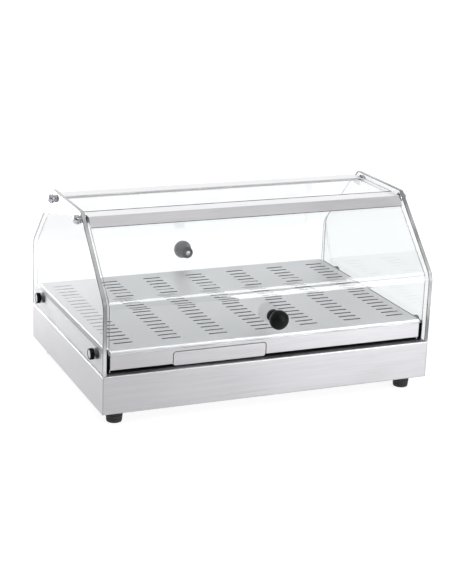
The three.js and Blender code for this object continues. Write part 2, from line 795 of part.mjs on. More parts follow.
// Outer dome, thread through the rear panel and lock nut, with the cord's bore right through.
function cableGland() {
  return turned([
    [glandBore, -12], [glandThread, -12], [glandThread, -7], [glandRadius, -7], [glandRadius, -sheet - gap],
    [glandThread, -sheet - gap], [glandThread, gap], [glandRadius, gap], [glandRadius, glandLength - 4],
    [glandRadius - 3, glandLength], [glandBore, glandLength], [glandBore, -12],
  ]).rotateX(-Math.PI / 2);
}

piece('thermostat_body', thermostatBody(), blackPlastic).position.set(thermostatPlace, rearFace, controlZ);
piece('thermostat_bulb', thermostatBulb(), chromeLook)
  .position.set(thermostatPlace - 118, reflectorDepth / 2 - 6, heaterZ + 6);
piece('thermostat_dial', thermostatDial(), blackPlastic).position.set(thermostatPlace, rearFace + 2, controlZ);
piece('switch_housing', switchHousing(), blackPlastic).position.set(switchPlace, rearFace, controlZ);
piece('switch_rocker', switchRocker(), blackPlastic)
  .position.set(switchPlace, rearFace + rockerPivot, controlZ);
piece('cable_gland', cableGland(), blackPlastic).position.set(glandPlace, rearFace, controlZ);

export default displayCase;
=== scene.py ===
import math

import bmesh
import bpy
from mathutils import Euler, Matrix, Vector


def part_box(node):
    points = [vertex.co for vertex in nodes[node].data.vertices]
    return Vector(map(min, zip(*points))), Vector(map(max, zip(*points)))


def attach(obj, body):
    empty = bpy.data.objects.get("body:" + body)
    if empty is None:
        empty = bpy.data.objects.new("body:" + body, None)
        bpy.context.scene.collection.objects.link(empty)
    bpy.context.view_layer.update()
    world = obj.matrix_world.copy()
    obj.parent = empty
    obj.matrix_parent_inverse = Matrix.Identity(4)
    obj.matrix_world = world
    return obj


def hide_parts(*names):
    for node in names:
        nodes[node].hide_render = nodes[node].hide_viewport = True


# Countertop hot food display case. Sizes in the dictionaries are millimetres, angles degrees.
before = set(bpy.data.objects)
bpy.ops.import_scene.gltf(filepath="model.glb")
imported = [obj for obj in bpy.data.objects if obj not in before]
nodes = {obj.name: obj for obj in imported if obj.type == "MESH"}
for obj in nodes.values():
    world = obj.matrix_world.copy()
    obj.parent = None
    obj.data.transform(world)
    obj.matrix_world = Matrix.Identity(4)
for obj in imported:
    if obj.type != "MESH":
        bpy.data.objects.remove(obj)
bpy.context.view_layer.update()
mm = 0.001
half = math.sqrt(0.5)  # both parts of a unit step down a 45 degree slope
frontFace, topFace, leftFace = Vector((0, -1, 0)), Vector((0, 0, 1)), Vector((-1, 0, 0))
print("frame loaded:", len(nodes), "nodes")


# Working with Blender's tools.

def sizeOf(node):
    low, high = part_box(node)
    return low / mm, high / mm


def centreOf(node):
    low, high = sizeOf(node)
    return (low + high) / 2


def clearSelection():
    if bpy.context.object and bpy.context.object.mode != "OBJECT":
        bpy.ops.object.mode_set(mode="OBJECT")
    bpy.ops.object.select_all(action="DESELECT")


def choose(*objects):
    clearSelection()
    for obj in objects:
        obj.select_set(True)
    bpy.context.view_layer.objects.active = objects[0]


def edit(obj):
    choose(obj)
    bpy.ops.object.mode_set(mode="EDIT")


def pick(kind, test):  # selects what passes the test
    bpy.ops.mesh.select_mode(type={"verts": "VERT", "edges": "EDGE", "faces": "FACE"}[kind])
    bpy.ops.mesh.select_all(action="DESELECT")
    mesh = bmesh.from_edit_mesh(bpy.context.object.data)
    for item in getattr(mesh, kind):
        item.select_set(bool(test(item)))
    mesh.select_flush_mode()
    bmesh.update_edit_mesh(bpy.context.object.data)


def middle(item):
    points = [v.co for v in item.verts]
    return sum(points, Vector()) / len(points) / mm


def pointOutwards():  # the last step in edit mode
    bpy.ops.mesh.select_all(action="SELECT")
    bpy.ops.mesh.normals_make_consistent(inside=False)
    bpy.ops.object.mode_set(mode="OBJECT")


def mergeDoubles():
    bpy.ops.mesh.select_all(action="SELECT")
    bpy.ops.mesh.remove_doubles(threshold=1e-6)


def levelOutline(low, high, z):  # a rectangle's corners at one height
    return [(low[0], low[1], z), (high[0], low[1], z), (high[0], high[1], z), (low[0], high[1], z)]


def uprightOutline(low, high, y):  # the same, standing across the case
    return [(low[0], y, low[1]), (high[0], y, low[1]), (high[0], y, high[1]), (low[0], y, high[1])]


def secondFacet(across, up, ribs):  # true for every second one of a turned piece's facets
    angle = math.degrees(math.atan2(up, across)) % 360
    return int(angle * ribs / 180 + 0.01) % 2 == 0


def extrudeBy(step):
    bpy.ops.mesh.extrude_region_move(TRANSFORM_OT_translate={"value": Vector(step) * mm})


def modify(obj, kind, **settings):  # adds a modifier and applies it
    choose(obj)
    bpy.ops.object.modifier_add(type=kind)
    modifier = obj.modifiers[-1]
    for key, value in settings.items():
        setattr(modifier, key, value)
    bpy.ops.object.modifier_apply(modifier=modifier.name)


def softenEdges(obj, width, segments=2, angle=40):
    modify(obj, "BEVEL", width=width * mm, segments=segments, limit_method="ANGLE",
           angle_limit=math.radians(angle), use_clamp_overlap=True)


def drawLine(name, points, closed=False):  # a line of edges, or a face inside it
    clearSelection()
    bpy.ops.mesh.primitive_plane_add(size=0.01, location=Vector(points[0]) * mm)
    obj = bpy.context.object
    obj.name = obj.data.name = name
    bpy.ops.object.transform_apply(location=True, rotation=True, scale=True)
    bpy.ops.object.mode_set(mode="EDIT")
    bpy.ops.mesh.select_mode(type="VERT")
    bpy.ops.mesh.select_all(action="SELECT")
    bpy.ops.mesh.merge(type="CENTER")
    for before, after in zip(points, points[1:]):
        step = (Vector(after) - Vector(before)) * mm
        bpy.ops.mesh.extrude_vertices_move(TRANSFORM_OT_translate={"value": step})
    bpy.ops.mesh.select_all(action="SELECT")
    if closed:
        bpy.ops.mesh.edge_face_add()
    return obj


def roundCorners(corners, radius, turn, segments=6):  # of a flat outline, still in edit mode
    places = [Vector(c) for c in corners]
    pick("verts", lambda v: any((v.co / mm - p).length < 0.01 for p in places))
    offset = radius * math.tan(math.radians(turn) / 2) * mm
    bpy.ops.mesh.bevel(offset=offset, segments=segments, profile=0.5, affect="VERTICES")


def makePlate(name, outline, thick, rounds=()):  # a flat outline pulled to its thickness
    obj = drawLine(name, outline, closed=True)
    for corners, radius, turn, segments in rounds:
        roundCorners(corners, radius, turn, segments)
    bpy.ops.mesh.select_all(action="SELECT")
    extrudeBy(thick)
    pointOutwards()
    return obj


def makeBlock(name, low, high):
    clearSelection()
    low, high = Vector(low), Vector(high)
    bpy.ops.mesh.primitive_cube_add(size=1, location=(low + high) / 2 * mm, scale=(high - low) * mm)
    bpy.ops.object.transform_apply(location=True, rotation=True, scale=True)
    bpy.context.object.name = bpy.context.object.data.name = name
    return bpy.context.object


# A sheet folded along straight lines: its section is drawn, pulled along, rounded at the folds
# and thickened inwards.
def foldSheet(name, section, pull, thickness, radii, outward, segments=5):
    section, pull = [Vector(p) for p in section], Vector(pull)
    obj = drawLine(name, section)
    extrudeBy(pull)
    along = pull.normalized()
    for before, corner, after, radius in zip(section, section[1:], section[2:], radii):
        turn = (corner - before).angle(after - corner)

        def onFold(e, corner=corner):
            steps = [v.co / mm - corner for v in e.verts]
            return all((step - along * step.dot(along)).length < 0.01 for step in steps)
        pick("edges", onFold)
        bpy.ops.mesh.bevel(offset=radius * math.tan(turn / 2) * mm, segments=segments, affect="EDGES")
    pointOutwards()
    widest = max(obj.data.polygons, key=lambda f: f.area * abs(f.normal.dot(outward)))
    if widest.normal.dot(outward) < 0:
        obj.data.flip_normals()
    modify(obj, "SOLIDIFY", thickness=thickness * mm, offset=-1, use_even_offset=True)
    return obj


# Radii and heights, turned about the axis through the origin point.
def turnPiece(name, profile, origin, axis, steps=48):
    origin, axis = Vector(origin), Vector(axis)
    side = axis.orthogonal().normalized()
    if profile[0][0] > 0 and profile[-1] != profile[0]:
        profile = [*profile, profile[0]]
    obj = drawLine(name, [origin + side * r + axis * h for r, h in profile])
    bpy.ops.mesh.spin(steps=steps, angle=2 * math.pi, center=origin * mm, axis=axis)
    mergeDoubles()
    bpy.ops.mesh.delete_loose()
    pointOutwards()
    return obj


def boolean(obj, tool, operation="DIFFERENCE"):
    modify(obj, "BOOLEAN", object=tool, operation=operation, solver="EXACT")
    bpy.data.objects.remove(tool)


def cutRound(obj, centre, axis, radius, reach, steps=32):
    profile = [(0, -reach), (radius, -reach), (radius, reach), (0, reach)]
    boolean(obj, turnPiece("cutter", profile, centre, axis, steps))


def joinPieces(first, *others):
    choose(first, *others)
    bpy.ops.object.join()
    return first


def copyPiece(obj, name, shift=(0, 0, 0), turn=0):  # with its own mesh, turned about the case's middle
    choose(obj)
    bpy.ops.object.duplicate()
    copy = bpy.context.object
    copy.name = copy.data.name = name
    copy.location = Vector(shift) * mm
    copy.rotation_euler = (0, 0, math.radians(turn))
    bpy.ops.object.transform_apply(location=True, rotation=True, scale=True)
    return copy


def dress(obj, body, slot, material, *cadNodes, smooth=35):
    edit(obj)
    bpy.ops.mesh.select_all(action="SELECT")
    bpy.ops.uv.cube_project(cube_size=0.1)  # U runs along X on fronts and tops, along Y on ends
    bpy.ops.object.mode_set(mode="OBJECT")
    bpy.ops.object.shade_smooth_by_angle(angle=math.radians(smooth))
    modify(obj, "WEIGHTED_NORMAL", keep_sharp=True)
    if material and not obj.data.materials:
        obj.data.materials.append(material)
    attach(obj, body)
    if cadNodes:
        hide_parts(*cadNodes)
    return obj


# Camera.

camera = {"target": (-16.5, -35.4, 133.8), "azimuth": -23.414, "elevation": 17.332, "roll": 2.097,
          "distance": 2170, "lens": 91.37}


def placeCamera():
    tip, swing = math.radians(90 - camera["elevation"]), math.radians(camera["azimuth"])
    turn = Euler((tip, 0, swing), "XYZ").to_matrix()
    turn = turn @ Matrix.Rotation(math.radians(camera["roll"]), 3, "Z")
    data = bpy.data.cameras.new("camera")
    data.lens, data.sensor_width, data.clip_start, data.clip_end = camera["lens"], 36, 0.05, 60
    obj = bpy.data.objects.new("camera", data)
    bpy.context.scene.collection.objects.link(obj)
    place = Vector(camera["target"]) * mm + turn @ Vector((0, 0, camera["distance"] * mm))
    obj.matrix_world = Matrix.Translation(place) @ turn.to_4x4()
    bpy.context.scene.camera = obj


placeCamera()
print("camera placed")


# Materials.

def colour(code):  # sRGB hex to linear
    parts = [int(code[i:i + 2], 16) / 255 for i in (1, 3, 5)]
    return (*[p / 12.92 if p <= 0.04045 else ((p + 0.055) / 1.055) ** 2.4 for p in parts], 1)


def addNode(tree, kind, settings=None, links=None):
    node = tree.nodes.new("ShaderNode" + kind)
    for key, value in (settings or {}).items():
        if isinstance(key, int) or key in node.inputs.keys():
            node.inputs[key].default_value = value
        else:
            setattr(node, key, value)
    for key, source in (links or {}).items():
        tree.links.new(source, node.inputs[key])
    return node


def newMaterial(name):  # empty, with the piece's own coordinates to draw on
    material = bpy.data.materials.new(name)
    material.use_nodes = True
    tree = material.node_tree
    tree.nodes.clear()
    return material, tree, addNode(tree, "TexCoord").outputs["Object"]


def tones(look):  # a Mix node's settings between a look's two colours
    return {"data_type": "RGBA", 6: colour(look["dark"]), 7: colour(look["light"])}


def perMetre(size):  # a pattern's scale from its size in millimetres
    return 1 / (size * mm)


# Stainless steel, belt ground along one way: fine parallel lines that smear the reflections.
# Real grain is about 0.1 mm wide; it is drawn near 1 mm so that it shows. The map's U lies along the grain
# on the large faces, and the quarter turn makes reflections smear across it.
def brushedSteel(name, along, look):
    material, tree, where = newMaterial(name)
    scale = [perMetre(look["grainWidth"])] * 3
    scale["XYZ".index(along)] = perMetre(look["grainLength"])
    stretched = addNode(tree, "Mapping", {"Scale": scale}, {"Vector": where}).outputs[0]
    lines = addNode(tree, "TexNoise", {"Scale": 1, "Detail": 5, "Roughness": 0.65},
                    {"Vector": stretched}).outputs[0]
    clouds = addNode(tree, "TexNoise", {"Scale": perMetre(look["cloud"]), "Detail": 3},
                     {"Vector": where}).outputs[0]
    share = addNode(tree, "MapRange", {"From Min": 0.3, "From Max": 0.7}, {"Value": lines}).outputs[0]
    tone = addNode(tree, "Mix", tones(look), {0: share})
    rough = addNode(tree, "MapRange", {"From Min": 0.3, "From Max": 0.7, "To Min": look["rough"][0],
                                       "To Max": look["rough"][1]}, {"Value": lines}).outputs[0]
    haze = addNode(tree, "MapRange", {"From Min": 0.35, "From Max": 0.65, "To Min": -look["haze"],
                                      "To Max": look["haze"]}, {"Value": clouds}).outputs[0]
    total = addNode(tree, "Math", {"operation": "ADD", "use_clamp": True}, {0: rough, 1: haze}).outputs[0]
    bump = addNode(tree, "Bump", {"Strength": look["bump"], "Distance": 0.05 * mm},
                   {"Height": lines}).outputs[0]
    grainWay = addNode(tree, "Tangent", {"direction_type": "UV_MAP"}).outputs[0]
    shader = addNode(tree, "BsdfPrincipled", {"Metallic": 1, "Anisotropic": look["smear"],
                                              "Anisotropic Rotation": look["smearTurn"]},
                     {"Base Color": tone.outputs[2], "Roughness": total, "Normal": bump, "Tangent": grainWay})
    addNode(tree, "OutputMaterial", {}, {"Surface": shader.outputs[0]})
    return material


# Punched wall of a slot: torn metal, matt, and dark partly from the tear and partly as painted shade inside
# the slot.
def shearedWallAndShade(name, look):
    material, tree, where = newMaterial(name)
    torn = addNode(tree, "TexNoise", {"Scale": perMetre(look["torn"]), "Detail": 3},
                   {"Vector": where}).outputs[0]
    tone = addNode(tree, "Mix", tones(look), {0: torn})
    shader = addNode(tree, "BsdfPrincipled", {"Metallic": 1, "Roughness": 0.6},
                     {"Base Color": tone.outputs[2]})
    addNode(tree, "OutputMaterial", {}, {"Surface": shader.outputs[0]})
    return material


# Polished stainless or chrome plate: sharp reflections with faint wiping marks.
def polishedSteel(name, look):
    material, tree, where = newMaterial(name)
    marks = addNode(tree, "TexNoise", {"Scale": perMetre(look["marks"]), "Detail": 6, "Roughness": 0.7},
                    {"Vector": where}).outputs[0]
    rough = addNode(tree, "MapRange", {"To Min": look["rough"][0], "To Max": look["rough"][1]},
                    {"Value": marks})
    tone = addNode(tree, "Mix", tones(look), {0: marks})
    bump = addNode(tree, "Bump", {"Strength": 0.05, "Distance": 0.02 * mm}, {"Height": marks}).outputs[0]
    shader = addNode(tree, "BsdfPrincipled", {"Metallic": 1},
                     {"Base Color": tone.outputs[2], "Roughness": rough.outputs[0], "Normal": bump})
    addNode(tree, "OutputMaterial", {}, {"Surface": shader.outputs[0]})
    return material


# Cast acrylic sheet, flame polished at its edges: clear through its thickness and grey along it.
# Wiping leaves a faint haze of fine marks. Shadow rays pass through, as light does through a clear sheet.
def clearAcrylic(name, look):
    material, tree, where = newMaterial(name)
    wipes = addNode(tree, "TexNoise", {"Scale": perMetre(look["wipes"]), "Detail": 5, "Roughness": 0.7},
                    {"Vector": where}).outputs[0]
    rough = addNode(tree, "MapRange", {"From Min": 0.35, "From Max": 0.75, "To Min": look["rough"][0],
                                       "To Max": look["rough"][1]}, {"Value": wipes}).outputs[0]
    shader = addNode(tree, "BsdfPrincipled", {"Base Color": colour(look["tint"]), "Transmission Weight": 1,
                                              "IOR": 1.49}, {"Roughness": rough})
    unshaded = addNode(tree, "BsdfTransparent", {"Color": colour(look["shade"])})
    shadow = addNode(tree, "LightPath").outputs["Is Shadow Ray"]
    mixed = addNode(tree, "MixShader", {}, {0: shadow, 1: shader.outputs[0], 2: unshaded.outputs[0]})
    inside = addNode(tree, "VolumeAbsorption", {"Color": colour(look["depth"]), "Density": look["density"]})
    addNode(tree, "OutputMaterial", {}, {"Surface": mixed.outputs[0], "Volume": inside.outputs[0]})
    return material


# Sawn and flame polished rim of the same sheet: light that travels along the sheet leaves here, so it looks
# pale grey and milky where the faces look clear. What is left of the saw marks dulls it unevenly.
def acrylicRim(name, look):
    material, tree, where = newMaterial(name)
    saw = addNode(tree, "TexNoise", {"Scale": perMetre(look["saw"]), "Detail": 4},
                  {"Vector": where}).outputs[0]
    drift = addNode(tree, "TexNoise", {"Scale": perMetre(look["drift"]), "Detail": 1},
                    {"Vector": where}).outputs[0]
    share = addNode(tree, "MapRange", {"From Min": 0.35, "From Max": 0.65}, {"Value": drift}).outputs[0]
    tone = addNode(tree, "Mix", tones(look), {0: share})
    rough = addNode(tree, "MapRange", {"To Min": 0.08, "To Max": 0.3}, {"Value": saw}).outputs[0]
    bump = addNode(tree, "Bump", {"Strength": 0.2, "Distance": 0.05 * mm}, {"Height": saw}).outputs[0]
    shader = addNode(tree, "BsdfPrincipled", {"IOR": 1.49, "Transmission Weight": look["clear"]},
                     {"Base Color": tone.outputs[2], "Roughness": rough, "Normal": bump})
    addNode(tree, "OutputMaterial", {}, {"Surface": shader.outputs[0]})
    return material


# Moulded plastic or rubber: an even colour with a fine moulded grain and handling marks in the gloss.
def mouldedPolymer(name, look):
    material, tree, where = newMaterial(name)
    grain = addNode(tree, "TexNoise", {"Scale": perMetre(look["grain"]), "Detail": 3},
                    {"Vector": where}).outputs[0]
    marks = addNode(tree, "TexNoise", {"Scale": perMetre(look["marks"]), "Detail": 4},
                    {"Vector": where}).outputs[0]
    tone = addNode(tree, "Mix", tones(look), {0: marks})
    rough = addNode(tree, "MapRange", {"From Min": 0.3, "From Max": 0.7, "To Min": look["rough"][0],
                                       "To Max": look["rough"][1]}, {"Value": marks}).outputs[0]
    bump = addNode(tree, "Bump", {"Strength": look["bump"], "Distance": 0.1 * mm},
                   {"Height": grain}).outputs[0]
    shader = addNode(tree, "BsdfPrincipled", {"IOR": look["ior"]},
                     {"Base Color": tone.outputs[2], "Roughness": rough, "Normal": bump})
    addNode(tree, "OutputMaterial", {}, {"Surface": shader.outputs[0]})
    return material


# Alloy sheath of a heating element: drawn smooth, then browned and blued by heat.
def heatTintedSheath(name, look):
    material, tree, where = newMaterial(name)
    tint = addNode(tree, "TexNoise", {"Scale": perMetre(look["patch"]), "Detail": 4},
                   {"Vector": where}).outputs[0]
    tone = addNode(tree, "Mix", tones(look), {0: tint})
    rough = addNode(tree, "MapRange", {"To Min": 0.35, "To Max": 0.65}, {"Value": tint}).outputs[0]
    shader = addNode(tree, "BsdfPrincipled", {"Metallic": 1},
                     {"Base Color": tone.outputs[2], "Roughness": rough})
    addNode(tree, "OutputMaterial", {}, {"Surface": shader.outputs[0]})
    return material


# Bonded mineral wool: a matt, warm white mat of tangled fibres.
def mineralWool(name, look):
    material, tree, where = newMaterial(name)
    stretched = addNode(tree, "Mapping", {"Scale": (perMetre(9), perMetre(1.5), perMetre(1.5))},
                        {"Vector": where})
    fibres = addNode(tree, "TexNoise", {"Scale": 1, "Detail": 6, "Distortion": 1.5},
                     {"Vector": stretched.outputs[0]}).outputs[0]
    tone = addNode(tree, "Mix", tones(look), {0: fibres})
    bump = addNode(tree, "Bump", {"Strength": 0.8, "Distance": 0.6 * mm}, {"Height": fibres}).outputs[0]
    shader = addNode(tree, "BsdfPrincipled", {"Roughness": 0.95, "Sheen Weight": 0.3},
                     {"Base Color": tone.outputs[2], "Normal": bump})
    addNode(tree, "OutputMaterial", {}, {"Surface": shader.outputs[0]})
    return material


steelLook = {"dark": "#acabae", "light": "#b9b8bb", "grainLength": 90, "grainWidth": 1.1, "cloud": 90,
             "rough": (0.32, 0.44), "haze": 0.04, "bump": 0.15, "smear": 0.6, "smearTurn": 0.25}
shelfLook = {**steelLook, "dark": "#bcbbbd", "light": "#c6c5c7", "rough": (0.42, 0.52)}
# A lighter copy of the steel for the channels' tops: a painted highlight.
channelTopHighlightLook = {**steelLook, "dark": "#e8e8ea", "light": "#f2f2f4", "rough": (0.26, 0.38)}
# A dark copy of the steel: painted shade for the deck under the shelf and for the side panels' inward faces
# above it.
deckShadeLook = {**steelLook, "dark": "#252426", "light": "#343335", "rough": (0.5, 0.66), "smear": 0.1}
polishLook = {"dark": "#8a8a8f", "light": "#d6d6da", "marks": 6, "rough": (0.05, 0.16)}
acrylicLook = {"tint": "#fafcfc", "shade": "#f2f4f4", "depth": "#c9d2d2", "density": 1.5, "wipes": 45,
               "rough": (0.0, 0.035)}
# ABS has an IOR of about 1.5. The lower one here keeps the large knobs as dark as they look in soft light.
knobLook = {"dark": "#08090a", "light": "#0e0f10", "grain": 0.5, "marks": 9, "rough": (0.32, 0.46),
            "bump": 0.12, "ior": 1.2}
rubberLook = {"dark": "#131314", "light": "#1d1d1e", "grain": 0.7, "marks": 7, "rough": (0.6, 0.78),
              "bump": 0.3, "ior": 1.52}
rimLook = {"saw": 1.5, "drift": 60, "dark": "#88898c", "light": "#e6e7e8", "clear": 0.35}
# The dark line along a clear sheet's rounded corners is painted shade.
cornerShadeLook = {"saw": 1.5, "drift": 25, "dark": "#3c3d40", "light": "#8d8e91", "clear": 0.1}
inkLook = {"dark": "#e6e6e2", "light": "#f1f1ee", "grain": 0.8, "marks": 5, "rough": (0.5, 0.65), "bump": 0.1,
           "ior": 1.5}

steelAlongX = brushedSteel("stainless_ground_along_x", "X", steelLook)
steelAlongY = brushedSteel("stainless_ground_along_y", "Y", steelLook)
shelfSteel = brushedSteel("stainless_shelf_ground_along_x", "X", shelfLook)
channelTopHighlight = brushedSteel("stainless_channel_ground_along_x", "X", channelTopHighlightLook)
paintedShadeSteel = brushedSteel("stainless_painted_shade", "X", deckShadeLook)
# Dark, matt cut walls, darkened partly as painted shade: in the shelf's slots, and as a painted shadow line
# under the flap channels.
shearedSteelAndShade = shearedWallAndShade("stainless_sheared_wall", {"torn": 0.4, "dark": "#1c1b1d", "light": "#3a393c"})
bareSteel = brushedSteel("stainless_mill_finish", "X", {**steelLook, "rough": (0.34, 0.5), "grainWidth": 2.5})
chromePlate = polishedSteel("chrome_plate_polished", polishLook)
acrylic = clearAcrylic("acrylic_cast_flame_polished", acrylicLook)
# The end panels' greyer tint is painted shade for the grey seen through them.
endAcrylicShadeTint = clearAcrylic("acrylic_cast_end_panels", {**acrylicLook, "tint": "#f1f2f3"})
acrylicEdge = acrylicRim("acrylic_rim_flame_polished", rimLook)
acrylicCornerShade = acrylicRim("acrylic_corner_painted_shade_line", cornerShadeLook)
blackAbs = mouldedPolymer("abs_moulded_satin_black", knobLook)
blackRubber = mouldedPolymer("rubber_moulded_black", rubberLook)
whiteInk = mouldedPolymer("pad_print_white", inkLook)
sheathAlloy = heatTintedSheath("alloy_sheath_heat_tinted",
                               {"patch": 14, "dark": "#5a5c66", "light": "#6d5f52"})
wool = mineralWool("mineral_wool_bonded", {"dark": "#cfc8b4", "light": "#eee9da"})
print("materials made:", len(bpy.data.materials))


def markFaces(obj, materials, choice):  # each face takes the material that choice numbers
    for material in materials:
        obj.data.materials.append(material)
    for face in obj.data.polygons:
        face.material_index = choice(face.normal, face.center / mm)


# A clear sheet's faces by how they turn from the sheet's own direction: clear, dark corner line of painted
# shade, pale rim.
def markRim(obj, clear, turnOf):
    def band(normal, at):
        facing = turnOf(normal, at)
        return 0 if facing > 0.95 else 1 if facing > 0.3 else 2
    markFaces(obj, (clear, acrylicCornerShade, acrylicEdge), band)


# Casing.

casing = {"sheet": 1, "fold": 1.8, "bottomFlange": 11, "seam": 0.3, "softened": 0.2,
          "ledge": 6.3, "upstandSetBack": 8, "screwHole": 2.8, "footHole": 2.3}
behindFace = casing["sheet"] + casing["seam"]
rearControls = {"spindle": (170, 4.3), "switch": (110, 26.6, 18.6), "gland": (-190, 6.3)}


def frontPanel():
    low, high = sizeOf("front_panel")
    deckEnd = sizeOf("deck_plate")[1].x
    x = low.x
    section = [(x, high.y, high.z), (x, low.y, high.z), (x, low.y, low.z),
               (x, low.y + casing["bottomFlange"], low.z)]
    panel = foldSheet("frontPanel", section, (high.x - x, 0, 0), casing["sheet"],
                      [casing["fold"]] * 2, frontFace)
    for side in (-1, 1):  # the deck flange stops at the side panels' upstands
        ends = sorted((side * deckEnd, side * (high.x + 1)))
        boolean(panel, makeBlock("cutter", (ends[0], low.y + behindFace, high.z - 2),
                                 (ends[1], high.y + 1, high.z + 1)))
    return panel


def rearPanel(front):
    panel = copyPiece(front, "rearPanel", turn=180)
    low, high = sizeOf("rear_panel")
    level = (low.z + high.z) / 2
    for place, radius in (rearControls["spindle"], rearControls["gland"]):
        cutRound(panel, (place, high.y, level), (0, 1, 0), radius, 4)
    place, width, height = rearControls["switch"]
    boolean(panel, makeBlock("cutter", (place - width / 2, high.y - 4, level - height / 2),
                             (place + width / 2, high.y + 4, level + height / 2)))
    return panel


def leftSidePanel():
    low, high = sizeOf("left_side_panel")
    top = sizeOf("front_panel")[1].z
    x, y, inner = low.x, low.y, low.x + casing["ledge"]
    section = [(x + casing["bottomFlange"], y, low.z), (x, y, low.z), (x, y, top), (inner, y, top),
               (inner, y, high.z)]
    panel = foldSheet("leftSidePanel", section, (0, high.y - y, 0), casing["sheet"],
                      [casing["fold"], casing["fold"], casing["fold"] / 2], leftFace)
    inside = x + casing["sheet"] + casing["seam"] / 2
    for side in (-1, 1):  # room for the front and rear panels at both ends
        for inset, reach, heights in (
                (behindFace, inside, (0, high.z + 1)),
                (casing["bottomFlange"] + casing["seam"], inside,
                 (0, low.z + 2 * casing["sheet"] + casing["seam"])),
                (casing["upstandSetBack"], x - 1, (top + 0.01, high.z + 1))):
            ends = sorted((side * (high.y - inset), side * (high.y + 1)))
            boolean(panel, makeBlock("cutter", (reach, ends[0], heights[0]), (0, ends[1], heights[1])))
        centre = centreOf("left_front_panel_screw" if side < 0 else "left_rear_panel_screw")
        cutRound(panel, (inner, centre.y, centre.z), (1, 0, 0), casing["screwHole"], 4)
    return panel


def flatPlate(name, node, corner, feetHoles=False):
    low, high = sizeOf(node)
    corners = levelOutline(low, high, low.z)
    plate = makePlate(name, corners, (0, 0, high.z - low.z), [(corners, corner, 90, 4)])
    if feetHoles:
        for foot in footNodes:
            centre = centreOf(foot)
            cutRound(plate, (centre.x, centre.y, low.z), (0, 0, 1), casing["footHole"], 4, 24)
    return plate


# Moulded foot: wider at the top, with two grooves round it and a hollow for its screw.
footProfile = [(5, 0), (9.6, 0), (10.6, 0.5), (11, 1.8), (11.3, 5), (10.7, 5.4), (10.75, 6.4), (11.45, 6.8),
               (11.9, 10.4), (11.3, 10.8), (11.35, 11.8), (12.1, 12.2), (12.8, 16), (13, 17.4), (13, 20.4),
               (12.5, 21), (casing["footHole"], 21), (casing["footHole"], 10), (5, 10)]
footNodes = ["front_left_foot", "front_right_foot", "rear_left_foot", "rear_right_foot"]


def facesShadedGap(normal, at):  # the inward faces above the deck, which take painted shade
    return int((normal.x if at.x > 0 else -normal.x) < -0.5 and at.z > deckTop)


front = frontPanel()
rear = rearPanel(front)
left = leftSidePanel()
right = copyPiece(left, "rightSidePanel", turn=180)
base = flatPlate("basePlate", "base_plate", 2, True)
deck = flatPlate("deckPlate", "deck_plate", 3)
deckTop = sizeOf("deck_plate")[1].z
for piece, node, material in ((front, "front_panel", steelAlongX), (rear, "rear_panel", steelAlongX),
                              (left, "left_side_panel", steelAlongY),
                              (right, "right_side_panel", steelAlongY),
                              (base, "base_plate", bareSteel), (deck, "deck_plate", steelAlongX)):
    softenEdges(piece, casing["softened"])
    if piece in (left, right):  # the inward faces above the deck take painted shade
        markFaces(piece, (material, paintedShadeSteel), facesShadedGap)
    # all but the deck's underside take painted shade, dark as under the shelf
    if piece is deck:
        markFaces(piece, (material, paintedShadeSteel), lambda normal, at: int(normal.z > -0.5))
    dress(piece, "case", "stainless_steel", material, node)
firstFoot = None
for node in footNodes:
    low, high = sizeOf(node)
    place = ((low.x + high.x) / 2, (low.y + high.y) / 2, low.z)
    if firstFoot is None:
        firstFoot, firstPlace = turnPiece("footFrontLeft", footProfile, place, (0, 0, 1)), Vector(place)
        foot = firstFoot
    else:
        words = node.split("_")
        foot = copyPiece(firstFoot, "foot" + words[0].title() + words[1].title(), Vector(place) - firstPlace)
    dress(foot, "case", "black_rubber", blackRubber, node, smooth=25)
print("casing made")


# Clear panels, roof and tie rods.

clearPanels = {"bendRise": 100.6, "bendRadius": 24, "topCornerRadius": 9, "polishedEdge": 0.8, "rodHole": 4.3}


def outlineCorners(x, low, high):  # of an end panel: upright, then leaning in at 45 degrees
    bend = sizeOf("front_panel")[1].z + clearPanels["bendRise"]
    topY = high.y - (high.z - bend)
    return [(x, low.y, low.z), (x, low.y, bend), (x, -topY, high.z), (x, topY, high.z), (x, high.y, bend),
            (x, high.y, low.z)]


def leftEndPanel():
    low, high = sizeOf("left_end_panel")
    corners = outlineCorners(low.x, low, high)
    rounds = [([corners[1], corners[4]], clearPanels["bendRadius"], 45, 10),
              ([corners[2], corners[3]], clearPanels["topCornerRadius"], 45, 6)]
    panel = makePlate("leftEndPanel", corners, (high.x - low.x, 0, 0), rounds)
    for node, radius in (("front_tie_rod", clearPanels["rodHole"]), ("rear_tie_rod", clearPanels["rodHole"]),
                         ("left_front_panel_screw", casing["screwHole"]),
                         ("left_rear_panel_screw", casing["screwHole"])):
        hole = centreOf(node)
        cutRound(panel, (low.x, hole.y, hole.z), (1, 0, 0), radius, 8)
    softenEdges(panel, clearPanels["polishedEdge"], angle=60)
    return panel


def alongRod(name, node, profile, out=1, steps=48):  # turned about the rod's own axis, from its inner end
    low, high = sizeOf(node)
    centre = centreOf(node)
    return turnPiece(name, profile, (low.x if out > 0 else high.x, centre.y, centre.z), (out, 0, 0), steps)


leftPanel = leftEndPanel()
leftLow, rightLow = sizeOf("left_end_panel")[0], sizeOf("right_end_panel")[0]
rightPanel = copyPiece(leftPanel, "rightEndPanel", (rightLow.x - leftLow.x, 0, 0))
roof = flatPlate("roofPanel", "roof_panel", 1)
softenEdges(roof, clearPanels["polishedEdge"], angle=60)
for panel, node in ((leftPanel, "left_end_panel"), (rightPanel, "right_end_panel")):
    markRim(panel, endAcrylicShadeTint, lambda normal, at: abs(normal.x))
    dress(panel, "case", "clear_acrylic", None, node, smooth=30)
markRim(roof, acrylic, lambda normal, at: abs(normal.z))
dress(roof, "case", "clear_acrylic", None, "roof_panel")

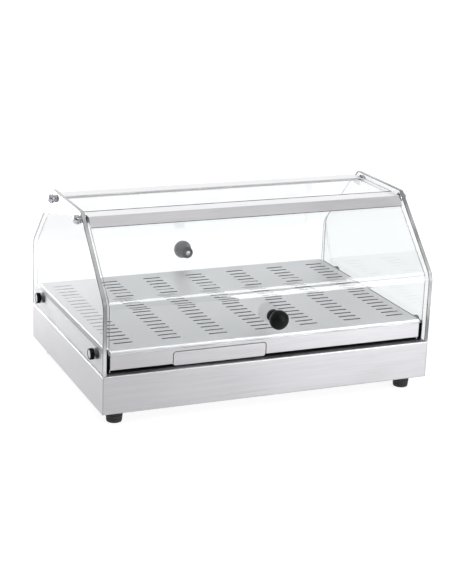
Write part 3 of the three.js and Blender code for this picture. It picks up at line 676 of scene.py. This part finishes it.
# Radii and heights from the inner end.
nutProfile = [(0, 5.5), (4.3, 5.5), (4.3, 0), (6.5, 0), (7, 0.5), (7, 2.2), (6.3, 2.6), (6.3, 3.1),
              (6.75, 3.4), (6.6, 4.4), (6, 5.6), (5, 6.7), (3.6, 7.5), (1.9, 7.9), (0, 8)]
bushProfile = [(4.3, 0), (5.2, 0), (5.5, 0.3), (5.5, 1.2), (5.1, 1.45), (5.1, 1.95), (5.5, 2.2), (5.5, 3.1),
               (5.2, 3.4), (4.3, 3.4)]
for end in ("front", "rear"):
    low, high = sizeOf(end + "_tie_rod")
    reach = high.x - low.x
    rodProfile = [(0, 0), (3.2, 0), (3.9, 0.8), (3.9, 5), (4, 5.3), (4, reach - 5.3), (3.9, reach - 5),
                  (3.9, reach - 0.8), (3.2, reach), (0, reach)]
    rod = alongRod(end + "TieRod", end + "_tie_rod", rodProfile)
    dress(rod, "case", "chrome", chromePlate, end + "_tie_rod")
    for hand, out in (("left", -1), ("right", 1)):
        for part, ending, profile, smooth in (("Bush", "rod_bush", bushProfile, 35),
                                              ("Nut", "dome_nut", nutProfile, 40)):
            node = f"{end}_{hand}_{ending}"
            turned = alongRod(end + hand.title() + part, node, profile, out)
            dress(turned, "case", "chrome", chromePlate, node, smooth=smooth)
print("clear panels and rods made")


# Panel screws.

panelScrew = {"shank": 2.5, "cap": 8, "capLength": 6.5, "ribs": 24, "ribDepth": 0.35, "boss": 6.2}


def makePanelScrew(name, node, out):
    low, high = sizeOf(node)
    centre = centreOf(node)
    length, shank, cap, boss = high.x - low.x, panelScrew["shank"], panelScrew["cap"], panelScrew["boss"]
    neck = length - panelScrew["capLength"]
    start = (low.x if out > 0 else high.x, centre.y, centre.z)
    profile = [(0, 0), (shank - 0.4, 0), (shank, 0.6), (shank, neck), (cap - 0.6, neck), (cap, neck + 0.6),
               (cap, length - 1.6), (cap - 0.4, length - 0.8), (cap - 1.2, length - 0.3),
               (boss + 0.4, length - 0.3), (boss, length - 1), (0, length - 1)]
    body = turnPiece(name, profile, start, (out, 0, 0), 2 * panelScrew["ribs"])
    edit(body)
    axisPoint = Vector((0, centre.y, centre.z))

    def onRib(f):
        c = middle(f) - axisPoint
        onSide = abs(f.normal.x) < 0.1 and math.hypot(c.y, c.z) > cap - 0.3
        return onSide and secondFacet(c.y, c.z, panelScrew["ribs"])
    pick("faces", onRib)
    bpy.ops.mesh.inset(thickness=0.15 * mm, depth=-panelScrew["ribDepth"] * mm, use_individual=True)
    bpy.ops.object.mode_set(mode="OBJECT")
    profile = [(0, length - 1.2), (boss - 0.1, length - 1.2), (boss - 0.1, length - 0.8),
               (4.2, length - 0.35), (2.4, length - 0.08), (0, length)]
    button = turnPiece("boss", profile, start, (out, 0, 0), 32)
    body.data.materials.append(blackAbs)
    button.data.materials.append(chromePlate)
    return joinPieces(body, button)


for hand, out in (("left", -1), ("right", 1)):
    for end in ("front", "rear"):
        node = f"{hand}_{end}_panel_screw"
        screw = makePanelScrew(hand + end.title() + "PanelScrew", node, out)
        dress(screw, "case", "black_plastic", None, node)
print("panel screws made")


# Flaps, modelled at the front and copied to the rear.

flap = {"channelSheet": 1.2, "face": 17.5, "innerDrop": 7, "rodHole": 4.3, "earReach": 8, "paneThick": 3,
        "paneBend": 24, "knobHole": 2.8, "softened": 0.3}


def hingeChannel():
    low, high = sizeOf("front_hinge_channel")
    rod = centreOf("front_tie_rod")
    sheet, x = flap["channelSheet"], low.x
    foldY = low.y + flap["face"] * half
    section = [(x, high.y, high.z - flap["innerDrop"]), (x, high.y, high.z), (x, foldY, high.z),
               (x, low.y, high.z - (foldY - low.y))]
    channel = foldSheet("frontHingeChannel", section, (high.x - x, 0, 0), sheet, [1.6, 2.2], topFace)
    back = rod.y - flap["earReach"]
    ear = [(high.y - 0.2, high.z - 3.6), (high.y - 2.6, high.z - 0.6), (back, high.z - 0.6), (back, low.z),
           (high.y - 0.2, low.z)]
    for at in (low.x, high.x - sheet):
        outline = [(at, y, z) for y, z in ear]
        plate = makePlate("ear", outline, (sheet, 0, 0), [(outline[3:], 4, 90, 5)])
        cutRound(plate, (at, rod.y, rod.z), (1, 0, 0), flap["rodHole"], 4)
        boolean(channel, plate, "UNION")
    softenEdges(channel, 0.2)

    def kind(normal, at):  # painted highlight on top, painted shadow line on the cut edge along the bottom of the slope
        cut = normal.z < -0.4 and normal.y < -0.4 and at.y < low.y + 3
        return 1 if normal.z > 0.9 else 2 if cut else 0
    markFaces(channel, (steelAlongX, channelTopHighlight, shearedSteelAndShade), kind)
    return channel


def channelGasket():  # flat strip with a round bead along its lower edge
    low, high = sizeOf("front_channel_gasket")
    x = low.x
    foldDown = half  # the strip is 1 mm thick
    outline = [(x, high.y - foldDown, high.z), (x, high.y, high.z - foldDown), (x, low.y + foldDown, low.z),
               (x, low.y, low.z + foldDown)]
    strip = makePlate("frontChannelGasket", outline, (high.x - x, 0, 0), [(outline[2:], 0.49, 90, 4)])
    softenEdges(strip, 0.12)
    return strip


def flapPane():
    low, high = sizeOf("front_flap_pane")
    x, thick = low.x, flap["paneThick"]
    startY = high.y - thick * half
    bend = high.z - (startY - low.y)
    section = [(x, startY, high.z), (x, low.y, bend), (x, low.y, low.z)]
    pane = foldSheet("frontFlapPane", section, (high.x - x, 0, 0), thick, [flap["paneBend"]], frontFace, 14)
    knob = centreOf("front_flap_knob")
    cutRound(pane, (0, low.y, knob.z), (0, 1, 0), flap["knobHole"], 8)
    softenEdges(pane, flap["softened"], angle=60)

    def turnOf(normal, at):  # the sheet runs along X, and round its bend
        topRim = normal.z > 0.3 and normal.y > 0.2
        lowRim = normal.z < -0.3 and at.z < low.z + 1
        return 0.2 if topRim or lowRim else math.sqrt(max(0, 1 - normal.x ** 2))
    markRim(pane, acrylic, turnOf)
    return pane


knobSize = {"base": 9, "neck": 6, "head": 14, "frontFlat": 0.8, "rearFlat": 0.95, "bore": 2.8, "boreDepth": 8}


def flapKnob():
    low, high = sizeOf("front_flap_knob")
    length, head, neck = high.y - low.y, knobSize["head"], knobSize["neck"]
    base, bore, deep = knobSize["base"], knobSize["bore"], knobSize["boreDepth"]
    profile = [(0, deep), (bore, deep), (bore, 0), (base - 0.6, 0), (base, 0.6), (base, 2), (base - 0.5, 2.6),
               (neck + 1.6, 3.2), (neck + 0.3, 4.3), (neck, 5.2), (neck, 5.9)]
    centre = length - knobSize["frontFlat"] * head
    start = -math.acos(neck / head)
    for k in range(1, 19):
        angle = start + (math.pi / 2 - start) * k / 18
        flat = knobSize["frontFlat"] if angle > 0 else knobSize["rearFlat"]
        radius = max(0, head * math.cos(angle)) if k < 18 else 0
        profile.append((radius, centre + flat * head * math.sin(angle)))
        if k == 6:  # parting line of the mould
            profile.append((profile[-1][0] + 0.06, profile[-1][1] + 0.15))
    z = (low.z + high.z) / 2
    return turnPiece("frontFlapKnob", profile, (0, high.y, z), (0, -1, 0), 64)


def knobScrew():  # pan head inside the pane, with a six-sided socket
    low, high = sizeOf("front_knob_screw")
    length, z = high.y - low.y, (low.z + high.z) / 2
    profile = [(0, 0), (2.4, 0), (3.3, 0.3), (3.9, 1.1), (4, 2), (4, 2.6), (2.5, 2.6), (2.5, length - 0.6),
               (1.9, length), (0, length)]
    screw = turnPiece("frontKnobScrew", profile, (0, high.y, z), (0, -1, 0), 40)
    socket = [(0, -1), (1.7, -1), (1.7, 1.5), (0, 1.5)]
    boolean(screw, turnPiece("cutter", socket, (0, high.y, z), (0, -1, 0), 6))
    return screw


def knobWasher():
    low, high = sizeOf("front_knob_washer")
    tall = high.y - low.y
    profile = [(2.8, 0), (8.6, 0), (9, 0.3), (9, tall - 0.7), (8.4, tall), (5.2, tall), (4.8, tall - 0.3),
               (2.8, tall - 0.3)]
    return turnPiece("frontKnobWasher", profile, (0, low.y, (low.z + high.z) / 2), (0, 1, 0))


for make, node, slot, material in (
        (hingeChannel, "hinge_channel", "stainless_steel", None),
        (channelGasket, "channel_gasket", "black_rubber", blackRubber),
        (flapPane, "flap_pane", "clear_acrylic", None),
        (flapKnob, "flap_knob", "black_plastic", blackAbs),
        (knobScrew, "knob_screw", "chrome", chromePlate),
        (knobWasher, "knob_washer", "black_rubber", blackRubber)):
    piece = make()
    twin = copyPiece(piece, piece.name.replace("front", "rear"), turn=180)
    dress(piece, "front_flap", slot, material, "front_" + node)
    dress(twin, "rear_flap", slot, material, "rear_" + node)


def roofShadeStrip():  # black rubber strip on the channel's inner flange, next to the roof: painted shade where the flange lies in shadow
    low, high = sizeOf("front_hinge_channel")
    x, y, z, thick = low.x + 1, high.y, high.z - flap["innerDrop"], 0.9
    outline = [(x, y, z + 0.2), (x, y + thick, z + 0.2), (x, y + thick, z + 5.4), (x, y, z + 5.4)]
    return makePlate("frontRoofSeal", outline, (high.x - low.x - 2, 0, 0), [(outline[1:3], 0.4, 90, 3)])


# The strips are painted shade on the channels' inner flanges.
shadeStrip = roofShadeStrip()
twin = copyPiece(shadeStrip, "rearRoofSeal", turn=180)
dress(shadeStrip, "front_flap", "black_rubber", blackRubber)
dress(twin, "rear_flap", "black_rubber", blackRubber)
print("flaps made")


# Shelf.

shelf = {"sheet": 1, "fold": 3, "lip": 28, "slotLength": 28, "slotWidth": 4, "columns": 7, "rows": 19,
         "columnPitch": 70, "rowPitch": 15, "seam": 1, "trayCorner": 4, "flange": 9}


def makeShelf():
    low, high = sizeOf("perforated_shelf")
    plate = drawLine("perforatedShelf", levelOutline(low, high, high.z), closed=True)
    extrudeBy((0, 0, low.z - high.z))
    pick("faces", lambda f: abs(middle(f).z - low.z) < 0.01)
    bpy.ops.mesh.delete(type="FACE")
    pick("edges", lambda e: abs(middle(e).z - high.z) < 0.01)
    bpy.ops.mesh.bevel(offset=shelf["fold"] * mm, segments=6, affect="EDGES")
    pointOutwards()
    if max(plate.data.polygons, key=lambda f: f.area).normal.z < 0:
        plate.data.flip_normals()
    modify(plate, "SOLIDIFY", thickness=shelf["sheet"] * mm, offset=-1, use_even_offset=True)
    for y in (low.y, high.y):  # the end flanges reach the deck, the long lips stop above it
        boolean(plate, makeBlock("cutter", (low.x - 1, y - 2.9, low.z - 1),
                                 (high.x + 1, y + 2.9, high.z - shelf["lip"])))
    trayLow, trayHigh = sizeOf("tray_front")
    seam, corner = shelf["seam"], shelf["trayCorner"] + shelf["seam"]
    outline = uprightOutline((trayLow.x - seam, low.z - 5), (trayHigh.x + seam, trayHigh.z + seam), low.y - 1)
    boolean(plate, makePlate("cutter", outline, (0, 4, 0), [(outline[2:], corner, 90, 6)]))
    softenEdges(plate, 0.15)
    long, wide = shelf["slotLength"] / 2, shelf["slotWidth"] / 2
    x0 = -shelf["columnPitch"] * (shelf["columns"] - 1) / 2
    y0 = -shelf["rowPitch"] * (shelf["rows"] - 1) / 2
    outline = levelOutline((x0 - long, y0 - wide), (x0 + long, y0 + wide), high.z - 3)
    cutter = makePlate("slots", outline, (0, 0, 5), [(outline, wide * 0.98, 90, 4)])
    for count, step in ((shelf["columns"], (shelf["columnPitch"], 0, 0)),
                        (shelf["rows"], (0, shelf["rowPitch"], 0))):
        modify(cutter, "ARRAY", count=count, use_relative_offset=False, use_constant_offset=True,
               constant_offset_displace=Vector(step) * mm)
    boolean(plate, cutter)

    def kind(normal, at):  # 1 on the walls of the punched slots, dark in part as painted shade, 2 on the upright lips
        inPlate = abs(at.x) < high.x - shelf["flange"] and abs(at.y) < high.y - shelf["flange"]
        return 0 if abs(normal.z) >= 0.5 else 1 if inPlate else 2
    markFaces(plate, (shelfSteel, shearedSteelAndShade, steelAlongX), kind)
    return plate


dress(makeShelf(), "shelf", "stainless_steel", None, "perforated_shelf")
print("shelf made")


# Tray.

tray = {"corner": 4, "wall": 1, "insideFold": 2, "runnerSheet": 1.2}


def trayFront():
    low, high = sizeOf("tray_front")
    corners = uprightOutline((low.x, low.z), (high.x, high.z), low.y)
    plate = makePlate("trayFront", corners, (0, high.y - low.y, 0), [(corners, tray["corner"], 90, 6)])
    softenEdges(plate, 0.25)
    return plate


def trayPan():
    low, high = sizeOf("tray_pan")
    pan = makeBlock("trayPan", low, high)
    bpy.ops.object.mode_set(mode="EDIT")
    pick("faces", lambda f: f.normal.z > 0.9)
    bpy.ops.mesh.inset(thickness=tray["wall"] * mm)
    extrudeBy((0, 0, -(high.z - low.z - tray["wall"])))
    pick("edges", lambda e: abs(middle(e).z - low.z - tray["wall"]) < 0.01)
    bpy.ops.mesh.bevel(offset=tray["insideFold"] * mm, segments=4, affect="EDGES")
    bpy.ops.object.mode_set(mode="OBJECT")
    softenEdges(pan, 0.3)
    return pan


def trayRunner(name, node, side):
    low, high = sizeOf(node)
    inner, outer = (low.x, high.x) if side > 0 else (high.x, low.x)
    section = [(inner, low.y, low.z), (outer, low.y, low.z), (outer, low.y, high.z)]
    runner = foldSheet(name, section, (0, high.y - low.y, 0), tray["runnerSheet"], [1.8], Vector((0, 0, -1)))
    softenEdges(runner, 0.2)
    return runner


dress(trayFront(), "tray", "stainless_steel", steelAlongX, "tray_front")
dress(trayPan(), "tray", "stainless_steel", bareSteel, "tray_pan")
for hand, side in (("left", -1), ("right", 1)):
    node = hand + "_tray_runner"
    dress(trayRunner(hand + "TrayRunner", node, side), "case", "stainless_steel", bareSteel, node)
print("tray made")


# Rear controls.

dial = {"skirt": 17, "skirtTall": 2.5, "grip": 12.4, "gripTop": 11.2, "flutes": 18, "fluteDepth": 0.7,
        "bore": 3.3, "boreDepth": 9, "marks": ("30", "40", "50", "60", "70", "80", "90"),
        "marksFrom": 225, "marksStep": 40,
        "markSize": 3.2, "markRadius": 14.6, "print": 0.04}


def printed(name, words, size, place, turn, thick):  # flat lettering on a face that looks to the rear
    clearSelection()
    bpy.ops.object.text_add()
    text = bpy.context.object
    text.name = name
    text.data.body, text.data.size = words, size * mm
    text.data.align_x, text.data.align_y = "CENTER", "CENTER"
    text.data.resolution_u = 3
    text.data.extrude = thick * mm
    bpy.ops.object.convert(target="MESH")
    text = bpy.context.object
    upright = (Matrix.Rotation(math.pi, 4, "Z") @ Matrix.Rotation(math.pi / 2, 4, "X")
               @ Matrix.Rotation(turn, 4, "Z"))
    text.matrix_world = Matrix.Translation(Vector(place) * mm) @ upright
    bpy.ops.object.transform_apply(location=True, rotation=True, scale=True)
    edit(text)
    mergeDoubles()
    bpy.ops.object.mode_set(mode="OBJECT")
    text.data.materials.append(whiteInk)
    return text


def thermostatDial():
    low, high = sizeOf("thermostat_dial")
    tall = high.y - low.y
    centre = Vector(((low.x + high.x) / 2, low.y, (low.z + high.z) / 2))
    bore, skirt, rise = dial["bore"], dial["skirt"], dial["skirtTall"]
    grip, top = dial["grip"], dial["gripTop"]
    profile = [(bore, 0), (skirt - 0.4, 0), (skirt, 0.4), (skirt, rise - 0.5), (skirt - 0.6, rise),
               (grip + 0.8, rise + 0.3), (grip, rise + 1.2), (top, tall - 1.2), (top - 0.5, tall - 0.4),
               (top - 1.6, tall), (4, tall), (3.6, tall - 0.4), (0, tall - 0.5), (0, dial["boreDepth"]),
               (bore, dial["boreDepth"])]
    body = turnPiece("thermostatDial", profile, centre, (0, 1, 0), 4 * dial["flutes"])
    edit(body)

    def onFlute(f):
        c = middle(f) - centre
        onGrip = math.hypot(c.x, c.z) > 10.8 and 5 < c.y < tall - 1.3 and abs(f.normal.y) < 0.3
        return onGrip and secondFacet(c.x, c.z, dial["flutes"])
    pick("faces", onFlute)
    bpy.ops.mesh.inset(thickness=0.3 * mm, depth=-dial["fluteDepth"] * mm)
    bpy.ops.object.mode_set(mode="OBJECT")
    body.data.materials.append(blackAbs)
    parts = []
    for index, mark in enumerate(dial["marks"]):
        angle = math.radians(dial["marksFrom"] - index * dial["marksStep"])
        place = centre + Vector((-math.cos(angle), 0, math.sin(angle))) * dial["markRadius"]
        place.y = low.y + dial["skirtTall"]
        parts.append(printed("mark", mark, dial["markSize"], place, angle - math.pi / 2, dial["print"]))
    line = makeBlock("line", centre + Vector((-0.5, tall - 0.1, 5)), centre + Vector((0.5, tall, 9.2)))
    softenEdges(line, 0.04)
    line.data.materials.append(whiteInk)
    return joinPieces(body, line, *parts)


switch = {"corner": 2.5, "bezel": 2, "flange": 2, "wellHalf": 11.2, "wellDepth": 8, "rockerHalf": 10.2,
          "tip": -8, "markSize": 5, "print": 0.04}


def switchHousing():
    low, high = sizeOf("switch_housing")
    rockerLow, rockerHigh = sizeOf("switch_rocker")
    face = high.y
    corners = uprightOutline((low.x, low.z), (high.x, high.z), face - switch["bezel"])
    body = makePlate("switchHousing", corners, (0, switch["bezel"], 0), [(corners, switch["corner"], 90, 5)])
    softenEdges(body, 0.6, 3)
    edge = switch["flange"]
    barrel = makeBlock("barrel", (low.x + edge, low.y, low.z + edge),
                       (high.x - edge, face - 1.2, high.z - edge))
    softenEdges(barrel, 0.5)
    boolean(body, barrel, "UNION")
    centre = (low + high) / 2
    wellX, wellZ = switch["wellHalf"], (rockerHigh.z - rockerLow.z) / 2 + 0.3
    well = makeBlock("cutter", (centre.x - wellX, face - switch["wellDepth"], centre.z - wellZ),
                     (centre.x + wellX, face + 1, centre.z + wellZ))
    boolean(body, well)
    return body


def switchRocker():  # two sloping pads over a rounded belly, tipped to its off side
    low, high = sizeOf("switch_rocker")
    housing = sizeOf("switch_housing")
    centre = (housing[0] + housing[1]) / 2
    pivot = Vector((centre.x, housing[1].y - 4, 0))
    tilt = Matrix.Rotation(math.radians(switch["tip"]), 3, "Z")
    side = switch["rockerHalf"]
    section = [(-side, 4.6), (-side, 0.5), (-side + 3, -2), (side - 3, -2), (side, 0.5), (side, 4.6),
               (5, 3.72), (0, 3.2), (-5, 3.72)]
    outline = [pivot + tilt @ Vector((x, y, 0)) + Vector((0, 0, low.z)) for x, y in section]
    rocker = makePlate("switchRocker", outline, (0, 0, high.z - low.z))
    softenEdges(rocker, 0.4, 3)
    rocker.data.materials.append(blackAbs)
    parts = []
    for words, x in (("I", 6.6), ("O", -6.6)):
        place = pivot + tilt @ Vector((x, 4.0, 0)) + Vector((0, 0, centre.z))
        slope = math.radians(switch["tip"]) + (1 if x > 0 else -1) * math.atan(0.14)
        mark = printed("mark", words, switch["markSize"], place, 0, switch["print"])
        mark.data.transform(Matrix.Translation(place * mm) @ Matrix.Rotation(slope, 4, "Z")
                            @ Matrix.Translation(-place * mm))
        parts.append(mark)
    return joinPieces(rocker, *parts)


gland = {"bore": 3.5, "thread": 6, "dome": 8.3, "body": (0.3, 4.5), "lockNut": (-7, -1.3), "ribs": 12}


def cableGland():  # six-sided body and ribbed cap outside, lock nut inside
    low, high = sizeOf("cable_gland")
    wall = sizeOf("rear_panel")[1].y
    centre = ((low.x + high.x) / 2, wall, (low.z + high.z) / 2)
    tall, flats = high.y - wall, (high.z - low.z) / 2
    bore, thread, dome, shoulder = gland["bore"], gland["thread"], gland["dome"], gland["body"][1]
    profile = [(bore, low.y - wall), (thread, low.y - wall), (thread, shoulder), (dome, shoulder), (dome, 8),
               (dome - 0.9, 10), (dome - 2.8, tall - 0.4), (bore + 0.9, tall), (bore, tall - 0.6)]
    stem = turnPiece("cableGland", profile, centre, (0, 1, 0), 48)
    edit(stem)

    def onRib(f):
        c = middle(f) - Vector(centre)
        return math.hypot(c.x, c.z) > 7.6 and 4.6 < c.y < 9 and secondFacet(c.x, c.z, gland["ribs"])
    pick("faces", onRib)
    bpy.ops.mesh.inset(thickness=0.15 * mm, depth=-0.4 * mm)
    bpy.ops.object.mode_set(mode="OBJECT")
    for start, end in (gland["body"], gland["lockNut"]):
        profile = [(5.2, start), (flats - 0.5, start), (flats, start + 0.4), (flats, end - 0.43),
                   (flats - 0.5, end - 0.03), (5.2, end - 0.03)]
        boolean(stem, turnPiece("nut", profile, centre, (0, 1, 0), 6), "UNION")
    return stem


dress(thermostatDial(), "thermostat_dial", "black_plastic", None, "thermostat_dial", smooth=30)
dress(switchHousing(), "case", "black_plastic", blackAbs, "switch_housing")
dress(switchRocker(), "switch_rocker", "black_plastic", None, "switch_rocker")
dress(cableGland(), "case", "black_plastic", blackAbs, "cable_gland", smooth=30)
print("rear controls made")


# Inside the casing.

heater = {"radius": 4, "straight": 150, "pitch": 56, "runs": 4, "bendSteps": 12}


def heatingElement():  # one tube bent to and fro
    low, high = sizeOf("heating_element")
    z = (low.z + high.z) / 2
    route = []
    for run in range(heater["runs"]):
        y = ((heater["runs"] - 1) / 2 - run) * heater["pitch"]
        way = 1 if run % 2 else -1
        route += [(-way * heater["straight"], y, z), (way * heater["straight"], y, z)]
        if run < heater["runs"] - 1:
            for k in range(1, heater["bendSteps"]):
                angle = math.pi * k / heater["bendSteps"]
                r = heater["pitch"] / 2
                x = way * (heater["straight"] + r * math.sin(angle))
                route.append((x, y - r * (1 - math.cos(angle)), z))
    tube = drawLine("heatingElement", route)
    bpy.ops.object.mode_set(mode="OBJECT")
    choose(tube)
    bpy.ops.object.convert(target="CURVE")
    tube = bpy.context.object
    tube.data.bevel_depth = (heater["radius"] - 0.02) * mm
    tube.data.bevel_resolution = 4
    tube.data.use_fill_caps = True
    bpy.ops.object.convert(target="MESH")
    tube = bpy.context.object
    edit(tube)
    mergeDoubles()
    pointOutwards()
    return tube


blanket = {"inset": 1.2, "softened": 2.5, "mesh": 4, "lump": 22, "lumpTall": 1.6}


def insulationBlanket():  # slab with soft edges and an uneven top
    low, high = sizeOf("insulation_blanket")
    inset = blanket["inset"]
    slab = makeBlock("insulationBlanket", low + Vector((inset, inset, 0)), high - Vector((inset, inset, 1)))
    softenEdges(slab, blanket["softened"], 3)
    edit(slab)
    bpy.ops.mesh.select_all(action="SELECT")
    bpy.ops.mesh.quads_convert_to_tris()
    bpy.ops.object.mode_set(mode="OBJECT")
    modify(slab, "REMESH", mode="VOXEL", voxel_size=blanket["mesh"] * mm)
    lumps = bpy.data.textures.new("lumps", "CLOUDS")
    lumps.noise_scale = blanket["lump"] * mm
    edit(slab)
    pick("verts", lambda v: v.normal.z > 0.5)
    bpy.ops.object.vertex_group_add()
    bpy.ops.object.vertex_group_assign()
    bpy.ops.object.mode_set(mode="OBJECT")
    modify(slab, "DISPLACE", texture=lumps, texture_coords="LOCAL", strength=blanket["lumpTall"] * mm,
           mid_level=0.6, vertex_group=slab.vertex_groups[0].name, direction="Z")
    slab.vertex_groups.clear()
    return slab


dress(heatingElement(), "case", "heater_sheath", sheathAlloy, "heating_element", smooth=60)
dress(insulationBlanket(), "case", "mineral_wool", wool, "insulation_blanket", smooth=60)
carried = {"left_heater_clip": bareSteel, "right_heater_clip": bareSteel, "heat_reflector": bareSteel,
           "thermostat_body": blackAbs, "thermostat_bulb": chromePlate,
           **{foot + "_screw": bareSteel for foot in footNodes}}
for node, material in carried.items():  # hidden parts that keep the frame's own shape
    for slot in nodes[node].material_slots:
        slot.material = material
print("inside made")


# Floor and light.

# Brightness of the surroundings by direction: white behind the case, dimmer behind the camera, even overhead.
studio = {"floor": "#8c8c8d", "floorGlow": 0.84, "behind": 1.12, "front": 0.1, "overhead": 0.85}


def makeFloor():
    clearSelection()
    bpy.ops.mesh.primitive_circle_add(vertices=64, radius=14, fill_type="NGON", location=(0, 0, -0.0005))
    floor = bpy.context.object
    floor.name = "floor"
    material, tree = newMaterial("studio_floor_matt_white")[:2]
    shader = addNode(tree, "BsdfPrincipled", {"Base Color": colour(studio["floor"]), "Roughness": 0.9,
                                              "Emission Color": (1, 1, 1, 1),
                                              "Emission Strength": studio["floorGlow"]})
    addNode(tree, "OutputMaterial", {}, {"Surface": shader.outputs[0]})
    floor.data.materials.append(material)


def makeSky():
    world = bpy.data.worlds.new("studio")
    bpy.context.scene.world = world
    world.use_nodes = True
    tree = world.node_tree
    tree.nodes.clear()
    where = addNode(tree, "TexCoord").outputs["Generated"]
    parts = addNode(tree, "SeparateXYZ", {}, {0: where})
    around = addNode(tree, "MapRange", {"From Min": -0.9, "From Max": 0.9, "To Min": studio["front"],
                                        "To Max": studio["behind"], "interpolation_type": "SMOOTHSTEP"},
                     {"Value": parts.outputs["Y"]}).outputs[0]
    height = addNode(tree, "MapRange", {"From Min": 0.25, "From Max": 0.85,
                                        "interpolation_type": "SMOOTHSTEP"},
                     {"Value": parts.outputs["Z"]}).outputs[0]
    strength = addNode(tree, "Mix", {"data_type": "FLOAT", 3: studio["overhead"]},
                       {0: height, 2: around}).outputs[0]
    path = addNode(tree, "LightPath").outputs  # seen directly or through a clear sheet it stays white
    direct = addNode(tree, "Math", {"operation": "MAXIMUM"},
                     {0: path["Is Camera Ray"], 1: path["Is Transmission Ray"]}).outputs[0]
    shown = addNode(tree, "Mix", {"data_type": "FLOAT", 3: studio["behind"]},
                    {0: direct, 2: strength}).outputs[0]
    background = addNode(tree, "Background", {"Color": (1, 1, 1, 1)}, {"Strength": shown})
    addNode(tree, "OutputWorld", {}, {"Surface": background.outputs[0]})


lamps = {"overhead": {"place": (0.3, 0.2, 2.6), "size": (1.6, 1.2), "power": 6},
         "frontStrip": {"place": (0.6, -1.3, 1.15), "size": (1.5, 0.4), "power": 9},
         "rightFront": {"place": (0.72, -1.25, 0.35), "size": (0.6, 0.6), "power": 7.5},
         "leftRear": {"place": (-0.5, 0.75, 0.2), "size": (0.25, 0.3), "power": 2.2}}


def makeLamps():
    for name, lamp in lamps.items():
        data = bpy.data.lights.new(name, "AREA")
        data.shape, data.size, data.size_y, data.energy = "RECTANGLE", *lamp["size"], lamp["power"]
        obj = bpy.data.objects.new(name, data)
        bpy.context.scene.collection.objects.link(obj)
        obj.location = lamp["place"]
        obj.rotation_euler = (Vector((0, 0, 0.15)) - obj.location).to_track_quat("-Z", "Y").to_euler()
        obj.visible_camera = False


makeFloor()
makeSky()
makeLamps()
bpy.context.scene.view_settings.view_transform = "Standard"
print("floor and light set")
